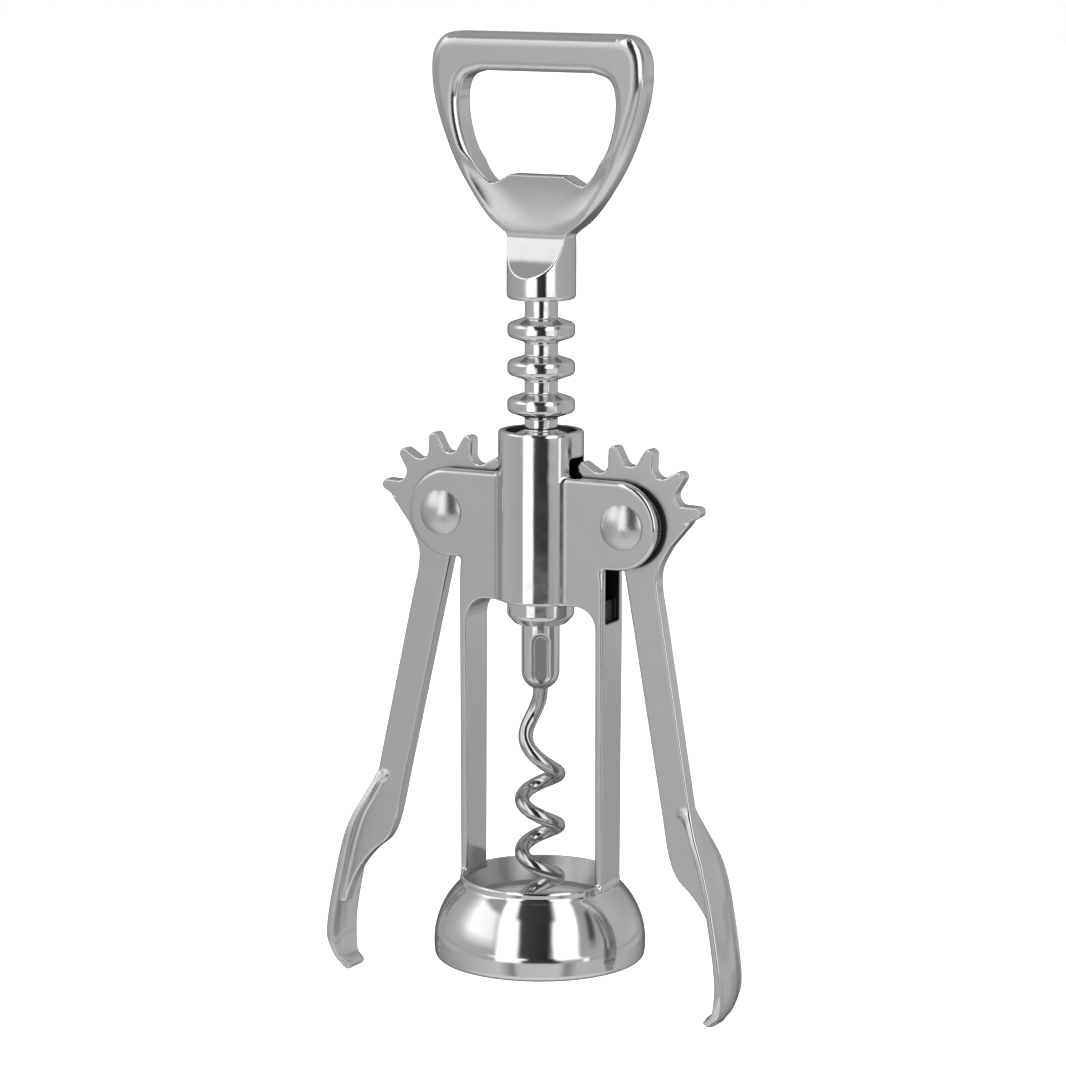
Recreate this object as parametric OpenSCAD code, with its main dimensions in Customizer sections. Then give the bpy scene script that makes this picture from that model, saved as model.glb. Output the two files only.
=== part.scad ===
// Wing corkscrew: a one-piece bell frame, two geared levers on rivets, a ring rack that
// slides through the frame's sleeve, a cap-lifter handle and a worm in its socket.
// Millimetres. Z runs up the centre line from the middle of the bell's mouth, X runs
// towards the right lever and the front looks along +Y.

/* [Bell] */
// Largest outer radius of the bell
bell_r = 20; // [19:0.1:22]
// Height of the largest radius above the mouth
bell_belly_z = 3.2; // [2.8:0.1:4]
// Outer radius of the bell's top rim
bell_rim_r = 15.1; // [14.8:0.1:15.6]
// Height of the top rim above the mouth
bell_rim_z = 15.9; // [15:0.1:17]
// Height of the plain band below the rim's edge
bell_band_h = 1.7; // [1.2:0.1:2.2]
// Radius of the round mouth that fits over a bottle's lip
mouth_r = 16.6; // [15.5:0.1:17]
// Height of the mouth's straight wall
mouth_h = 6; // [5:0.1:7]
// Radius of the rounded lip around the mouth
mouth_lip_r = 1.2; // [0.8:0.05:1.3]
// Radius of the throat that the worm and the drawn cork pass
throat_r = 13; // [12.7:0.1:13.2]
// Height of the shoulder that rests on a bottle's lip
shoulder_z = 10; // [9.5:0.1:10.6]

/* [Frame] */
// Height of the lever rivets above the mouth of the bell
pivot_z = 84.2; // [80:0.1:88]
// Length of the sleeve above the rivets
sleeve_above = 16.4; // [15.9:0.1:18]
// Length of the sleeve below the rivets
sleeve_below = 15.7; // [15.2:0.1:17]
// Wall of the sleeve
sleeve_wall = 1.45; // [1.2:0.05:2]
// Clear space between the rings and the sleeve's bore, each side
sleeve_clearance = 0.25; // [0.15:0.05:0.4]
// Height of the sleeve's side windows above the rivets
window_above = 11.6; // [11.3:0.1:12.5]
// Depth of the sleeve's side windows below the rivets
window_below = 11.6; // [11.3:0.1:12.5]
// Gap between the front and the rear cheek
cheek_gap = 5.4; // [5.2:0.1:5.8]
// Thickness of each cheek
cheek_t = 1.7; // [1.4:0.1:2.2]
// Radius of the cheek's rounded outer end
cheek_r = 8.3; // [7.8:0.1:8.6]
// Distance of the rounded end's centre from the rivet, towards the sleeve
cheek_set_in = 1.3; // [1:0.1:1.6]
// Distance of the rounded end's centre above the rivet
cheek_raise = 0; // [0:0.1:0.4]
// Step in from the bell's rim to the outer face of each leg
leg_set_in = 0.1; // [0:0.05:0.3]
// Thickness of each leg
leg_t = 1.55; // [1.3:0.05:1.9]
// Width of a leg where it meets the bell
leg_foot_w = 8; // [7.6:0.1:8.6]
// Radius of the arch between the sleeve and each leg
arch_r = 4; // [3:0.1:4.4]
// Clear space round the tooth tips, between the cheeks
tip_clearance = 0.5; // [0.3:0.1:0.8]
// Depth of the recess in each leg's outer side, below the sleeve's end
recess_drop = 2.9; // [2.5:0.1:4]
// Wall between that recess and the leg's inner face
recess_wall = 0.65; // [0.5:0.05:0.8]

/* [Ring rack] */
// Outer radius of the rings
ring_r = 6.3; // [6.1:0.05:6.5]
// Distance from one ring to the next
ring_pitch = 7.0; // [6.8:0.05:7.2]
// Width of a ring at its rim
ring_rim_w = 2.4; // [2.2:0.05:2.5]
// Slope of a ring's flank
ring_flank = 19; // [17:0.5:20]
// Rounding of a ring's rim
ring_round = 1; // [0.6:0.1:1.1]
// Radius of the bar between the rings
neck_r = 3.1; // [2.9:0.05:3.2]
// Radius on the rings at which the gears roll
rolling_r = 5.5; // [5.4:0.05:5.6]
// Bare length of bar between the top ring and the handle
neck_free = 4.5; // [4:0.1:5]
// Height of the plain collar at the rack's lower end
collar_h = 6.3; // [5.8:0.1:6.8]
// Length of the bar's end inside the handle
journal_len = 6; // [5:0.1:6.5]
// Running clearance of the handle and the worm's socket on the rack
turn_clearance = 0.05; // [0.03:0.01:0.08]
// End play between the rack and what turns on it
end_play = 0.15; // [0.1:0.05:0.3]

/* [Levers] */
// Teeth that a full gear of this pitch would have
full_teeth = 12; // [12:1:12]
// Teeth that each lever carries
lever_teeth = 7; // [7:1:7]
// Radius of the tooth tips
tooth_tip_r = 14.9; // [14.75:0.05:15.2]
// Radius at the bottom of the teeth
tooth_root_r = 11; // [10.8:0.05:11.3]
// Total play of a tooth between two rings
tooth_play = 1.4; // [1.2:0.05:1.5]
// Rounding of the tooth tips
tooth_round = 0.7; // [0.5:0.05:0.8]
// Thickness of the gear and the arm
blade_t = 3.0; // [2.6:0.1:3.4]
// Side play of the lever's boss between the cheeks, each side
boss_play = 0.2; // [0.1:0.05:0.3]
// Radius of the lever's boss
boss_r = 6.6; // [6:0.1:7]
// Distance of the arm's inner edge from the line through the rivet
arm_in = 2.3; // [2:0.1:2.6]
// Distance of the arm's outer edge from the line through the rivet
arm_out = 3.9; // [3.6:0.1:4.2]
// Distance from the rivet to where the finger pad starts
pad_start = 55.5; // [53:0.1:58]
// Length of the finger pad
pad_len = 39.1; // [37:0.1:41]
// How far the finger pad bulges beyond the arm's outer edge
pad_bulge = 3.2; // [2.8:0.1:3.6]
// Width of the finger pad
pad_w = 10; // [9:0.1:11]
// Thickness of the finger pad
pad_t = 1.4; // [1.2:0.05:1.8]
// Radius of the rolled lip at the pad's tip
pad_lip_r = 1.1; // [0.9:0.05:1.3]
// Angle of the left lever from straight down, as shown
left_rest = 12.9; // [12.3:0.1:13]
// Angle of the right lever from straight down, as shown
right_rest = 10.1; // [10:0.1:10.7]

/* [Rivets] */
// Radius of a rivet's shank
rivet_r = 2.2; // [2:0.05:2.5]
// Radius of a rivet's domed head
rivet_head_r = 4.25; // [4:0.05:4.6]
// Height of a rivet's domed head
rivet_head_h = 1.8; // [1.5:0.05:2.2]
// Running clearance of a lever on its rivet
rivet_clearance = 0.06; // [0.03:0.01:0.09]

/* [Handle] */
// Radius of the round hub
hub_r = 6.45; // [6.2:0.05:6.6]
// Height of the hub's round part below its hollow flats
hub_plain_h = 4.3; // [4:0.1:5]
// Rounding of the hub's lower edge
hub_round = 1.0; // [0.6:0.1:1.4]
// Radius of the hollow flats that lead up to the neck
flat_r = 15; // [13:0.5:18]
// Height of the neck above the hub's lower end
neck_h = 12.2; // [11.6:0.1:12.8]
// Thickness of the neck from front to back
neck_t = 4.5; // [4.2:0.1:5]
// Height of the handle from the hub's lower end to its top
handle_h = 48.8; // [46:0.1:52]
// Largest half width of the loop
loop_half_w = 22.2; // [21:0.1:24]
// Width of the loop's sides
loop_side_w = 6.3; // [5.8:0.1:7]
// Height of the loop's top bar
loop_top_w = 7.1; // [6.4:0.1:7.6]
// Depth of the loop from front to back
loop_depth = 6.6; // [6:0.1:7]
// Height of the cap lip above the hub's lower end
lip_z = 22.9; // [22:0.1:24]
// Half width of the flat cap lip
lip_half_w = 5.7; // [5:0.1:6.4]
// Step from the cap lip down to the floor of the hole
lip_step = 1.5; // [1:0.1:2]
// Thickness of the cap lip from front to back
lip_t = 4.4; // [4:0.1:5]
// Radius of the dish between the neck and the cap lip
dish_r = 16.6; // [15:0.2:19]
// Distance from the dish's deepest point up to the cap lip
dish_drop = 3.6; // [3:0.1:4.5]
// Width of the rim round the dish
dish_rim_w = 2.4; // [2:0.1:3]

/* [Worm] */
// Turning direction, -1 as shown and 1 for the usual right-hand worm
worm_hand = -1; // [-1, 1]
// Radius of the wire
wire_r = 1.4; // [1.2:0.05:1.5]
// Radius of the wire's centre line about the middle axis
helix_r = 3.4; // [3.1:0.05:3.5]
// Rise of one turn
helix_pitch = 10; // [9:0.1:11]
// Height of the worm's point above the mouth of the bell
worm_tip_z = 7; // [6.8:0.1:8.5]
// Length over which the wire narrows to its point
point_len = 8; // [6:0.1:10]
// Height over which the wire swings out from the axis, below its socket
swing_h = 11; // [9:0.1:13]
// Height over which the wire's turns close up to the even rise, below its socket
lead_in = 16.2; // [15:0.1:17]
// How much the turns are drawn out towards the socket, for each millimetre
lead_slack = 0.097; // [0.07:0.001:0.12]
// Radius of the socket that holds the wire
socket_r = 3.6; // [3.4:0.05:3.8]
// Length of the socket with its round end
socket_len = 12.9; // [12:0.1:14]
// Width of the oval pockets pressed into the socket
pocket_w = 3.5; // [3:0.1:4]
// Height of the oval pockets
pocket_h = 9.5; // [8:0.1:10]
// Depth of the oval pockets
pocket_d = 0.9; // [0.6:0.1:1.1]
// Radius of the socket's stub inside the rack
stub_r = 2; // [1.8:0.05:2.2]
// Length of the socket's stub inside the rack
stub_len = 4; // [3:0.1:5]
// Length of the wire held inside the socket
wire_in = 3; // [2:0.1:4]
// Angle by which the worm and its socket are turned, as shown
worm_turn = 28; // [0:1:359]

/* [Hidden] */
$fn = 64;

// Gear and rack
gear_r = ring_pitch * full_teeth / (2 * PI);
pivot_x = gear_r + rolling_r;
tooth_step = 360 / full_teeth;
ring_w_rolling = ring_rim_w + 2 * (ring_r - rolling_r) * tan(ring_flank);
tooth_w = ring_pitch - ring_w_rolling - tooth_play;
base_r = gear_r * cos(ring_flank);
mesh_rest = (left_rest + right_rest) / 2;

// Rack heights: one ring stands level with the rivets
rings_up = 5;
rings_down = 1;
ring_root_w = ring_rim_w + 2 * (ring_r - neck_r) * tan(ring_flank);
top_ring_z = pivot_z + rings_up * ring_pitch;
collar_top_z = pivot_z - (rings_down + 1) * ring_pitch + ring_rim_w / 2 - 0.9;
collar_bottom_z = collar_top_z - collar_h;
hub_z = top_ring_z + ring_rim_w / 2 + neck_free;

// Frame
sleeve_bore_r = ring_r + sleeve_clearance;
sleeve_r = sleeve_bore_r + sleeve_wall;
sleeve_top_z = pivot_z + sleeve_above;
sleeve_bottom_z = pivot_z - sleeve_below;
half_depth = cheek_gap / 2 + cheek_t;
leg_out_x = bell_rim_r - leg_set_in;
leg_in_x = leg_out_x - leg_t;
cheek_x = pivot_x - cheek_set_in;
cheek_z = pivot_z + cheek_raise;
recess_z = sleeve_bottom_z - recess_drop;
leg_foot_z = bell_rim_z - 1;
edge = 0.6;
eps = 0.01;

// Socket and worm
socket_top_z = collar_bottom_z - end_play;
socket_bottom_z = socket_top_z - socket_len;
wire_top_z = socket_bottom_z + wire_in;

// Arc of a circle as a list of points, from angle a0 to angle a1
function arc(cx, cy, r, a0, a1, steps = 12) =
    [for (i = [0:steps]) let (a = a0 + (a1 - a0) * i / steps) [cx + r * cos(a), cy + r * sin(a)]];

// One point of the smooth curve between p1 and p2, with neighbours p0 and p3
function curve_point(p0, p1, p2, p3, t) =
    0.5 * (2 * p1 + (p2 - p0) * t + (2 * p0 - 5 * p1 + 4 * p2 - p3) * t * t
           + (3 * p1 - p0 - 3 * p2 + p3) * t * t * t);

// Smooth curve through a list of points
function smooth(p, steps = 5) =
    let (n = len(p) - 1)
    concat([for (i = [0:n - 1]) for (s = [0:steps - 1])
        curve_point(p[max(i - 1, 0)], p[i], p[i + 1], p[min(i + 2, n)], s / steps)], [p[n]]);

// The same points mirrored in X and in reverse order
function mirrored(p) = [for (i = [len(p) - 1:-1:0]) [-p[i][0], p[i][1]]];

// Extrudes an outline in X and Z to a thickness in Y, centred on the middle plane
module plate(t) {
    rotate([90, 0, 0]) linear_extrude(t, center = true) children();
}

// Cylinder along Y through the point x, z
module cross_pin(x, z, r, t) {
    translate([x, 0, z]) rotate([90, 0, 0]) cylinder(r = r, h = t, center = true);
}

// ---- Bell and frame ----

// Arc that runs from the belly up to the band below the rim
bell_arc_end = [bell_rim_r + 0.2, bell_rim_z - bell_band_h];
bell_arc_r = (pow(bell_r - bell_arc_end[0], 2) + pow(bell_arc_end[1] - bell_belly_z, 2))
             / (2 * (bell_r - bell_arc_end[0]));
bell_arc_x = bell_r - bell_arc_r;
bell_arc_top = asin((bell_arc_end[1] - bell_belly_z) / bell_arc_r);
bell_foot_angle = -asin((bell_belly_z - mouth_lip_r) / bell_arc_r);
bell_foot_r = bell_arc_x + bell_arc_r * cos(bell_foot_angle);

module bell_profile() {
    polygon(concat(
        [[throat_r, shoulder_z + 0.6]],
        arc(throat_r + edge, bell_rim_z - edge, edge, 180, 90, 4),
        arc(bell_rim_r - edge, bell_rim_z - edge, edge, 90, 0, 4),
        [[bell_rim_r, bell_arc_end[1] + 0.1]],
        arc(bell_arc_x, bell_belly_z, bell_arc_r, bell_arc_top, bell_foot_angle, 16),
        arc(bell_foot_r - mouth_lip_r, mouth_lip_r, mouth_lip_r, -15, -90, 5),
        [[mouth_r, 0]],
        smooth([[mouth_r, mouth_h], [mouth_r - 0.4, mouth_h + 2.2],
                [mouth_r - 1.6, shoulder_z]], 4),
        [[throat_r + 0.6, shoulder_z]]));
}

// Outline of a cheek and the leg below it, on the right side
module side_outline() {
    arch_x = leg_in_x - arch_r;
    polygon(concat(
        [[0, sleeve_bottom_z], [0, cheek_z + cheek_r]],
        arc(cheek_x, cheek_z, cheek_r, 90, -90, 24),
        [[leg_out_x + 0.8, cheek_z - cheek_r], [leg_out_x, cheek_z - cheek_r - 0.8],
         [leg_out_x, leg_foot_z], [leg_in_x, leg_foot_z]],
        arc(arch_x, sleeve_bottom_z - arch_r, arch_r, 0, 90, 8)));
}

// Front view of the legs: full depth at the cheeks, narrower at the bell
module depth_outline() {
    top = sleeve_top_z + 1;
    polygon([[-half_depth, top], [-half_depth, recess_z], [-leg_foot_w / 2, leg_foot_z - 1],
             [leg_foot_w / 2, leg_foot_z - 1], [half_depth, recess_z], [half_depth, top]]);
}

// Space for the levers between the front and the rear cheek, round about the rivets, with a blind
// recess below it in each leg's outer side
module cheek_gap_cut() {
    for (side = [-1, 1]) {
        cross_pin(side * pivot_x, pivot_z, tooth_tip_r + tip_clearance, cheek_gap);
        translate([side * (leg_in_x + recess_wall + leg_t / 2), 0, (recess_z + pivot_z) / 2])
            cube([leg_t, cheek_gap, pivot_z - recess_z], center = true);
    }
}

module bell_frame() {
    color([0.72, 0.73, 0.75]) difference() {
        union() {
            rotate_extrude() bell_profile();
            difference() {
                intersection() {
                    union() {
                        plate(4 * half_depth) side_outline();
                        mirror([1, 0, 0]) plate(4 * half_depth) side_outline();
                    }
                    rotate([90, 0, 90]) linear_extrude(100, center = true) depth_outline();
                }
                difference() {
                    cheek_gap_cut();
                    cylinder(r = sleeve_r - eps, h = 200);
                }
            }
            translate([0, 0, sleeve_bottom_z])
                rotate_extrude() polygon([
                    [neck_r, 0], [sleeve_r - edge / 2, 0], [sleeve_r, edge / 2],
                    [sleeve_r, sleeve_top_z - sleeve_bottom_z - edge],
                    [sleeve_r - edge, sleeve_top_z - sleeve_bottom_z],
                    [neck_r, sleeve_top_z - sleeve_bottom_z]]);
        }
        translate([0, 0, sleeve_bottom_z - 1])
            cylinder(r = sleeve_bore_r, h = sleeve_top_z - sleeve_bottom_z + 2);
        translate([0, 0, pivot_z + (window_above - window_below) / 2])
            cube([2 * pivot_x, cheek_gap, window_above + window_below], center = true);
        for (side = [-1, 1]) cross_pin(side * pivot_x, pivot_z, rivet_r, 4 * half_depth);
    }
}

// ---- Levers, drawn hanging straight down from the rivet at the origin, outer side at +X ----

// Polar angle in degrees gained by an involute of the base circle at radius r
function inv(r) = let (c = acos(min(1, base_r / r))) tan(c) * 180 / PI - c;

// Half the angle that a tooth fills at radius r
function half_tooth(r) = (tooth_w / gear_r / 2) * 180 / PI + inv(gear_r) - inv(max(r, base_r));

// One tooth about the polar angle a, from its right root to its left root
tip_flank_r = tooth_tip_r - tooth_round;
function tooth(a) = let (
        flank = [for (i = [0:5]) base_r + (tip_flank_r - base_r) * i / 5],
        tip = half_tooth(tip_flank_r),
        crest = max(tip - tooth_round / tooth_tip_r * 180 / PI * 0.8, tip * 0.25),
        foot = half_tooth(base_r))
    concat(
        [[tooth_root_r, a - foot - 4.2], [tooth_root_r + 0.35, a - foot - 1.2]],
        [for (r = flank) [r, a - half_tooth(r)]],
        [[tooth_tip_r - tooth_round * 0.3, a - (tip + crest) / 2], [tooth_tip_r, a - crest],
         [tooth_tip_r, a + crest], [tooth_tip_r - tooth_round * 0.3, a + (tip + crest) / 2]],
        [for (i = [5:-1:0]) [flank[i], a + half_tooth(flank[i])]],
        [[tooth_root_r + 0.35, a + foot + 1.2], [tooth_root_r, a + foot + 4.2]]);

function polar(p) = [for (q = p) [q[0] * cos(q[1]), q[0] * sin(q[1])]];

// Angle of the outermost tooth, and the tooth spaces that face the rack at rest
first_tooth = 180 - mesh_rest - tooth_step * (lever_teeth - 1.5);

module gear_outline() {
    polygon(concat(
        [[0, 0], [arm_out, -16]],
        smooth([[arm_out, -16], [arm_out, -12.5], [arm_out + 0.9, -8.6],
                [tooth_root_r - 3.3, -4.9]], 4),
        polar([for (i = [0:lever_teeth - 1])
            each (i == 0 ? last_flank(first_tooth) : tooth(first_tooth + i * tooth_step))]),
        [[-boss_r * 0.9, -boss_r * 0.6], [-arm_in, -boss_r - 2]]));
}

// The outermost tooth, whose lower flank runs straight into the arm
function last_flank(a) = [for (p = tooth(a)) if (p[0] >= base_r || p[1] > a) p];

// Outer line of the finger pad, from the arm to the tip
pad_outer = let (s = pad_start, l = pad_len, o = arm_out, b = pad_bulge) smooth([
    [o - 0.6, -s + 3], [o, -s], [o + b * 0.38, -s - l * 0.1], [o + b * 0.78, -s - l * 0.21],
    [o + b * 0.97, -s - l * 0.35], [o + b, -s - l * 0.52], [o + b * 0.95, -s - l * 0.69],
    [o + b * 0.8, -s - l * 0.81], [o + b * 0.48, -s - l * 0.9], [o - 0.3, -s - l * 0.97],
    [o - 2.6, -s - l]], 4);

// Unit normal of a curve at point i, pointing to its right-hand side
function normal(p, i) = let (d = p[min(i + 1, len(p) - 1)] - p[max(i - 1, 0)])
    [d[1], -d[0]] / norm(d);

// The curve shifted sideways by t
function shifted(p, t) = [for (i = [0:len(p) - 1]) p[i] + t * normal(p, i)];

module pad_side() {
    inner = shifted(pad_outer, pad_t);
    polygon(concat(pad_outer, [for (i = [len(inner) - 1:-1:0]) inner[i]]));
}

// Face of the finger pad as its outline in Y and Z
module pad_face() {
    hw = pad_w / 2;
    s = pad_start;
    e = pad_start + pad_len;
    half = concat(smooth([[blade_t / 2, -s + 3], [blade_t / 2, -s], [hw * 0.62, -s - 4],
                          [hw * 0.92, -s - 7.5], [hw, -s - 12]], 4),
                  smooth([[hw, -e + 8], [hw * 0.95, -e + 3.4], [hw * 0.7, -e + 0.4],
                          [hw * 0.45, -e - 1.6]], 4));
    polygon(concat(half, mirrored(half)));
}

module web_outline() {
    s = pad_start;
    outer = [for (p = pad_outer) if (p[1] > -s - 25) [p[0] - pad_t / 2, p[1]]];
    inner = smooth([[arm_out - pad_t + 2.4, -s - 25], [arm_out + 0.3, -s - 21.5],
                    [arm_out - 1.0, -s - 17.5], [arm_out - 2.9, -s - 14], [-1.4, -s - 10.6],
                    [-arm_in, -s - 6], [-arm_in, -s + 2]], 4);
    polygon(concat([[-arm_in, -boss_r], [arm_out, -boss_r], [arm_out, -s]], outer, inner));
}

module lever_blank() {
    tip = pad_outer[len(pad_outer) - 1];
    difference() {
        union() {
            plate(blade_t) gear_outline();
            plate(blade_t) web_outline();
            cross_pin(0, 0, boss_r, cheek_gap - 2 * boss_play);
            intersection() {
                plate(pad_w + 1) pad_side();
                rotate([90, 0, 90]) linear_extrude(40, center = true) pad_face();
            }
            cross_pin(tip[0] + pad_lip_r * 0.4, tip[1] + pad_lip_r, pad_lip_r, pad_w * 0.55);
        }
        cross_pin(0, 0, rivet_r + rivet_clearance, 2 * cheek_gap);
    }
}

module right_lever() {
    color([0.70, 0.71, 0.73])
        translate([pivot_x, 0, pivot_z]) rotate([0, -right_rest, 0]) lever_blank();
}

module left_lever() {
    color([0.70, 0.71, 0.73])
        translate([-pivot_x, 0, pivot_z]) rotate([0, left_rest, 0])
            mirror([1, 0, 0]) lever_blank();
}

// ---- Rivets ----

module rivet(side) {
    dome_r = (pow(rivet_head_r, 2) + pow(rivet_head_h, 2)) / (2 * rivet_head_h);
    color([0.80, 0.80, 0.81]) translate([side * pivot_x, 0, pivot_z]) {
        rotate([90, 0, 0]) cylinder(r = rivet_r, h = 2 * half_depth + 1, center = true);
        for (face = [-1, 1]) intersection() {
            translate([0, face * (half_depth + rivet_head_h - dome_r), 0]) sphere(r = dome_r);
            translate([0, face * (half_depth + rivet_head_h), 0]) rotate([90, 0, 0])
                cylinder(r = rivet_head_r + 1, h = 2 * rivet_head_h, center = true);
        }
    }
}

module left_rivet() { rivet(-1); }
module right_rivet() { rivet(1); }

// ---- Ring rack ----

// Half outline of one ring centred at height z
function ring(z) = let (
        lean = 90 - ring_flank,
        x = ring_r - ring_round,
        h = ring_rim_w / 2 - ring_round * tan(lean / 2))
    concat([[neck_r, z - ring_root_w / 2]], arc(x, z - h, ring_round, -lean, 0, 4),
           arc(x, z + h, ring_round, 0, lean, 4), [[neck_r, z + ring_root_w / 2]]);

module ring_rack() {
    color([0.74, 0.75, 0.77]) difference() {
        rotate_extrude() polygon(concat(
            [[0, collar_bottom_z], [ring_r - 1.4, collar_bottom_z],
             [ring_r - 0.3, collar_bottom_z + 0.8], [ring_r, collar_bottom_z + 1.8],
             [ring_r, collar_top_z],
             [neck_r, collar_top_z + (ring_r - neck_r) * tan(ring_flank)]],
            [for (i = [-rings_down:rings_up]) each ring(pivot_z + i * ring_pitch)],
            [[neck_r, hub_z + journal_len - 0.4], [neck_r - 0.4, hub_z + journal_len],
             [0, hub_z + journal_len]]));
        translate([0, 0, collar_bottom_z - 1])
            cylinder(r = stub_r + turn_clearance, h = 1 + stub_len + end_play);
    }
}

// ---- Handle with its cap lifter ----

// Right half of the loop's outer outline, from the neck up to the middle of the top
neck_low = neck_h - 0.6;
outer_half = smooth([[hub_r - 0.5, neck_low], [hub_r + 0.3, neck_h + 0.3],
    [loop_half_w * 0.45, lip_z - 7.8], [loop_half_w * 0.63, lip_z - 3.3],
    [loop_half_w * 0.79, lip_z + 2.5], [loop_half_w * 0.91, lip_z + 8.9],
    [loop_half_w * 0.98, handle_h - 11.6], [loop_half_w, handle_h - 6.8],
    [loop_half_w * 0.975, handle_h - 3.2], [loop_half_w * 0.88, handle_h - 0.6],
    [loop_half_w * 0.74, handle_h], [0, handle_h]], 5);

// Right half of the hole, from the middle of its top down to the cap lip
hole_w = loop_half_w - loop_side_w;
hole_top = handle_h - loop_top_w;
hole_half = concat(
    [[0, hole_top]],
    smooth([[hole_w * 0.72, hole_top], [hole_w * 0.92, hole_top - 1.1], [hole_w, hole_top - 3.8],
            [hole_w * 0.995, hole_top - 8.4], [hole_w * 0.91, hole_top - 13.5],
            [hole_w * 0.76, hole_top - 17.9], [hole_w * 0.62, lip_z - lip_step + 0.1],
            [hole_w * 0.54, lip_z - lip_step]], 4),
    [[lip_half_w, lip_z], [0, lip_z]]);

// Half depth of the loop at each height, seen from the side
side_half = [[neck_t / 2, neck_low], [neck_t / 2 + 0.45, neck_h + 0.4],
    [loop_depth / 2, neck_h + 8], [loop_depth / 2, handle_h - 1.4],
    [loop_depth / 2 - 0.9, handle_h + eps]];

// Centre of the hollow flats in Y and Z: they run from the hub's side up to the neck
flat_run = [neck_t / 2 - hub_r, neck_h - hub_plain_h];
flat_rise = sqrt(pow(flat_r, 2) - pow(norm(flat_run) / 2, 2)) / norm(flat_run);
flat_y = (hub_r + neck_t / 2) / 2 + flat_rise * flat_run[1];
flat_z = (hub_plain_h + neck_h) / 2 - flat_rise * flat_run[0];

// Right half of the dish's outline: the loop's outline less the rim
dish_half = [for (p = shifted(outer_half, -dish_rim_w)) if (p[1] < lip_z + 5) p];

// Two equal cylinders along X, in front of and behind the middle plane
module cross_bars(y, z, r) {
    for (face = [-1, 1]) translate([0, face * y, z]) rotate([0, 90, 0])
        cylinder(r = r, h = 3 * loop_half_w, center = true);
}

module hub() {
    difference() {
        rotate_extrude() polygon(concat([[0, 0]],
            arc(hub_r - hub_round, hub_round, hub_round, -90, 0, 5),
            [[hub_r, neck_h - 0.4], [hub_r - 0.4, neck_h], [0, neck_h]]));
        cross_bars(flat_y, flat_z, flat_r);
    }
}

module loop() {
    dish_y = lip_t / 2 + sqrt(pow(dish_r, 2) - pow(dish_drop, 2));
    difference() {
        intersection() {
            plate(2 * hub_r) difference() {
                polygon(concat([[0, neck_low]], outer_half, mirrored(outer_half)));
                polygon(concat(hole_half, mirrored(hole_half)));
            }
            rotate([90, 0, 90]) linear_extrude(3 * loop_half_w, center = true)
                polygon(concat(side_half, mirrored(side_half)));
        }
        intersection() {
            cross_bars(dish_y, lip_z - dish_drop, dish_r);
            plate(2 * hub_r) polygon(concat([[0, neck_h]], dish_half, mirrored(dish_half)));
        }
    }
}

module opener_handle() {
    color([0.71, 0.72, 0.74]) translate([0, 0, hub_z]) difference() {
        union() {
            hub();
            loop();
        }
        translate([0, 0, -1])
            cylinder(r = neck_r + turn_clearance, h = 1 + journal_len + end_play);
    }
}

// ---- Worm and socket ----

module worm_socket() {
    color([0.66, 0.67, 0.69]) rotate([0, 0, worm_turn]) difference() {
        union() {
            translate([0, 0, socket_bottom_z + socket_r])
                cylinder(r = socket_r, h = socket_len - socket_r);
            translate([0, 0, socket_bottom_z + socket_r]) sphere(r = socket_r);
            translate([0, 0, socket_top_z - eps]) cylinder(r = stub_r, h = stub_len + eps);
        }
        for (face = [-1, 1]) translate([0, face * socket_r, socket_bottom_z + socket_len * 0.48])
            rotate([90, 0, 0]) linear_extrude(2 * pocket_d, center = true) {
                square([pocket_w, pocket_h - pocket_w], center = true);
                for (end = [-1, 1]) translate([0, end * (pocket_h - pocket_w) / 2])
                    circle(d = pocket_w);
            }
        translate([0, 0, socket_bottom_z - 1]) cylinder(r = wire_r, h = wire_top_z - socket_bottom_z + 1);
    }
}

// Sides of the wire and sections along one turn
wire_sides = 10;
turn_steps = 20;
worm_drop = wire_top_z - worm_tip_z;
worm_sections = ceil(worm_drop / helix_pitch * turn_steps);

// Swing of the wire out from the axis at height z, from 0 to 1
function swing(z) = let (t = max(0, min(1, (socket_bottom_z - z) / swing_h))) t * t * (3 - 2 * t);

// Turns of the wire at height z, even below the lead-in and drawn out above it
function turns(z) = let (above = z - socket_bottom_z + lead_in)
    (above > 0 ? above / (1 + lead_slack * above) : above) / helix_pitch;

// Centre of the wire at height z
function wire_at(z) = let (a = worm_turn + worm_hand * 360 * turns(z))
    [helix_r * swing(z) * cos(a), helix_r * swing(z) * sin(a), z];

// Radius of the wire at height z, narrowing to the point
function wire_radius(z) = wire_r * max(0.1, min(1, sqrt((z - worm_tip_z) / point_len + 0.01)));

// One closed section of the wire, square to its run
function section(z) = let (
        d = wire_at(z - 0.05) - wire_at(z + 0.05),
        n = cross(d, [0, 1, 0]) / norm(cross(d, [0, 1, 0])),
        b = cross(d, n) / norm(cross(d, n)))
    [for (k = [0:wire_sides - 1]) wire_at(z)
        + wire_radius(z) * (n * cos(360 * k / wire_sides) + b * sin(360 * k / wire_sides))];

module worm() {
    points = [for (i = [0:worm_sections]) each section(wire_top_z - worm_drop * i / worm_sections)];
    sides = [for (i = [0:worm_sections - 1]) for (k = [0:wire_sides - 1]) let (
            a = i * wire_sides + k, b = i * wire_sides + (k + 1) % wire_sides)
        each [[a, a + wire_sides, b + wire_sides], [a, b + wire_sides, b]]];
    last = worm_sections * wire_sides;
    caps = [[for (k = [0:wire_sides - 1]) k], [for (k = [wire_sides - 1:-1:0]) last + k]];
    color([0.62, 0.63, 0.64]) polyhedron(points, concat(sides, caps), convexity = 10);
}

bell_frame();
left_lever();
right_lever();
left_rivet();
right_rivet();
ring_rack();
opener_handle();
worm_socket();
worm();
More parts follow.
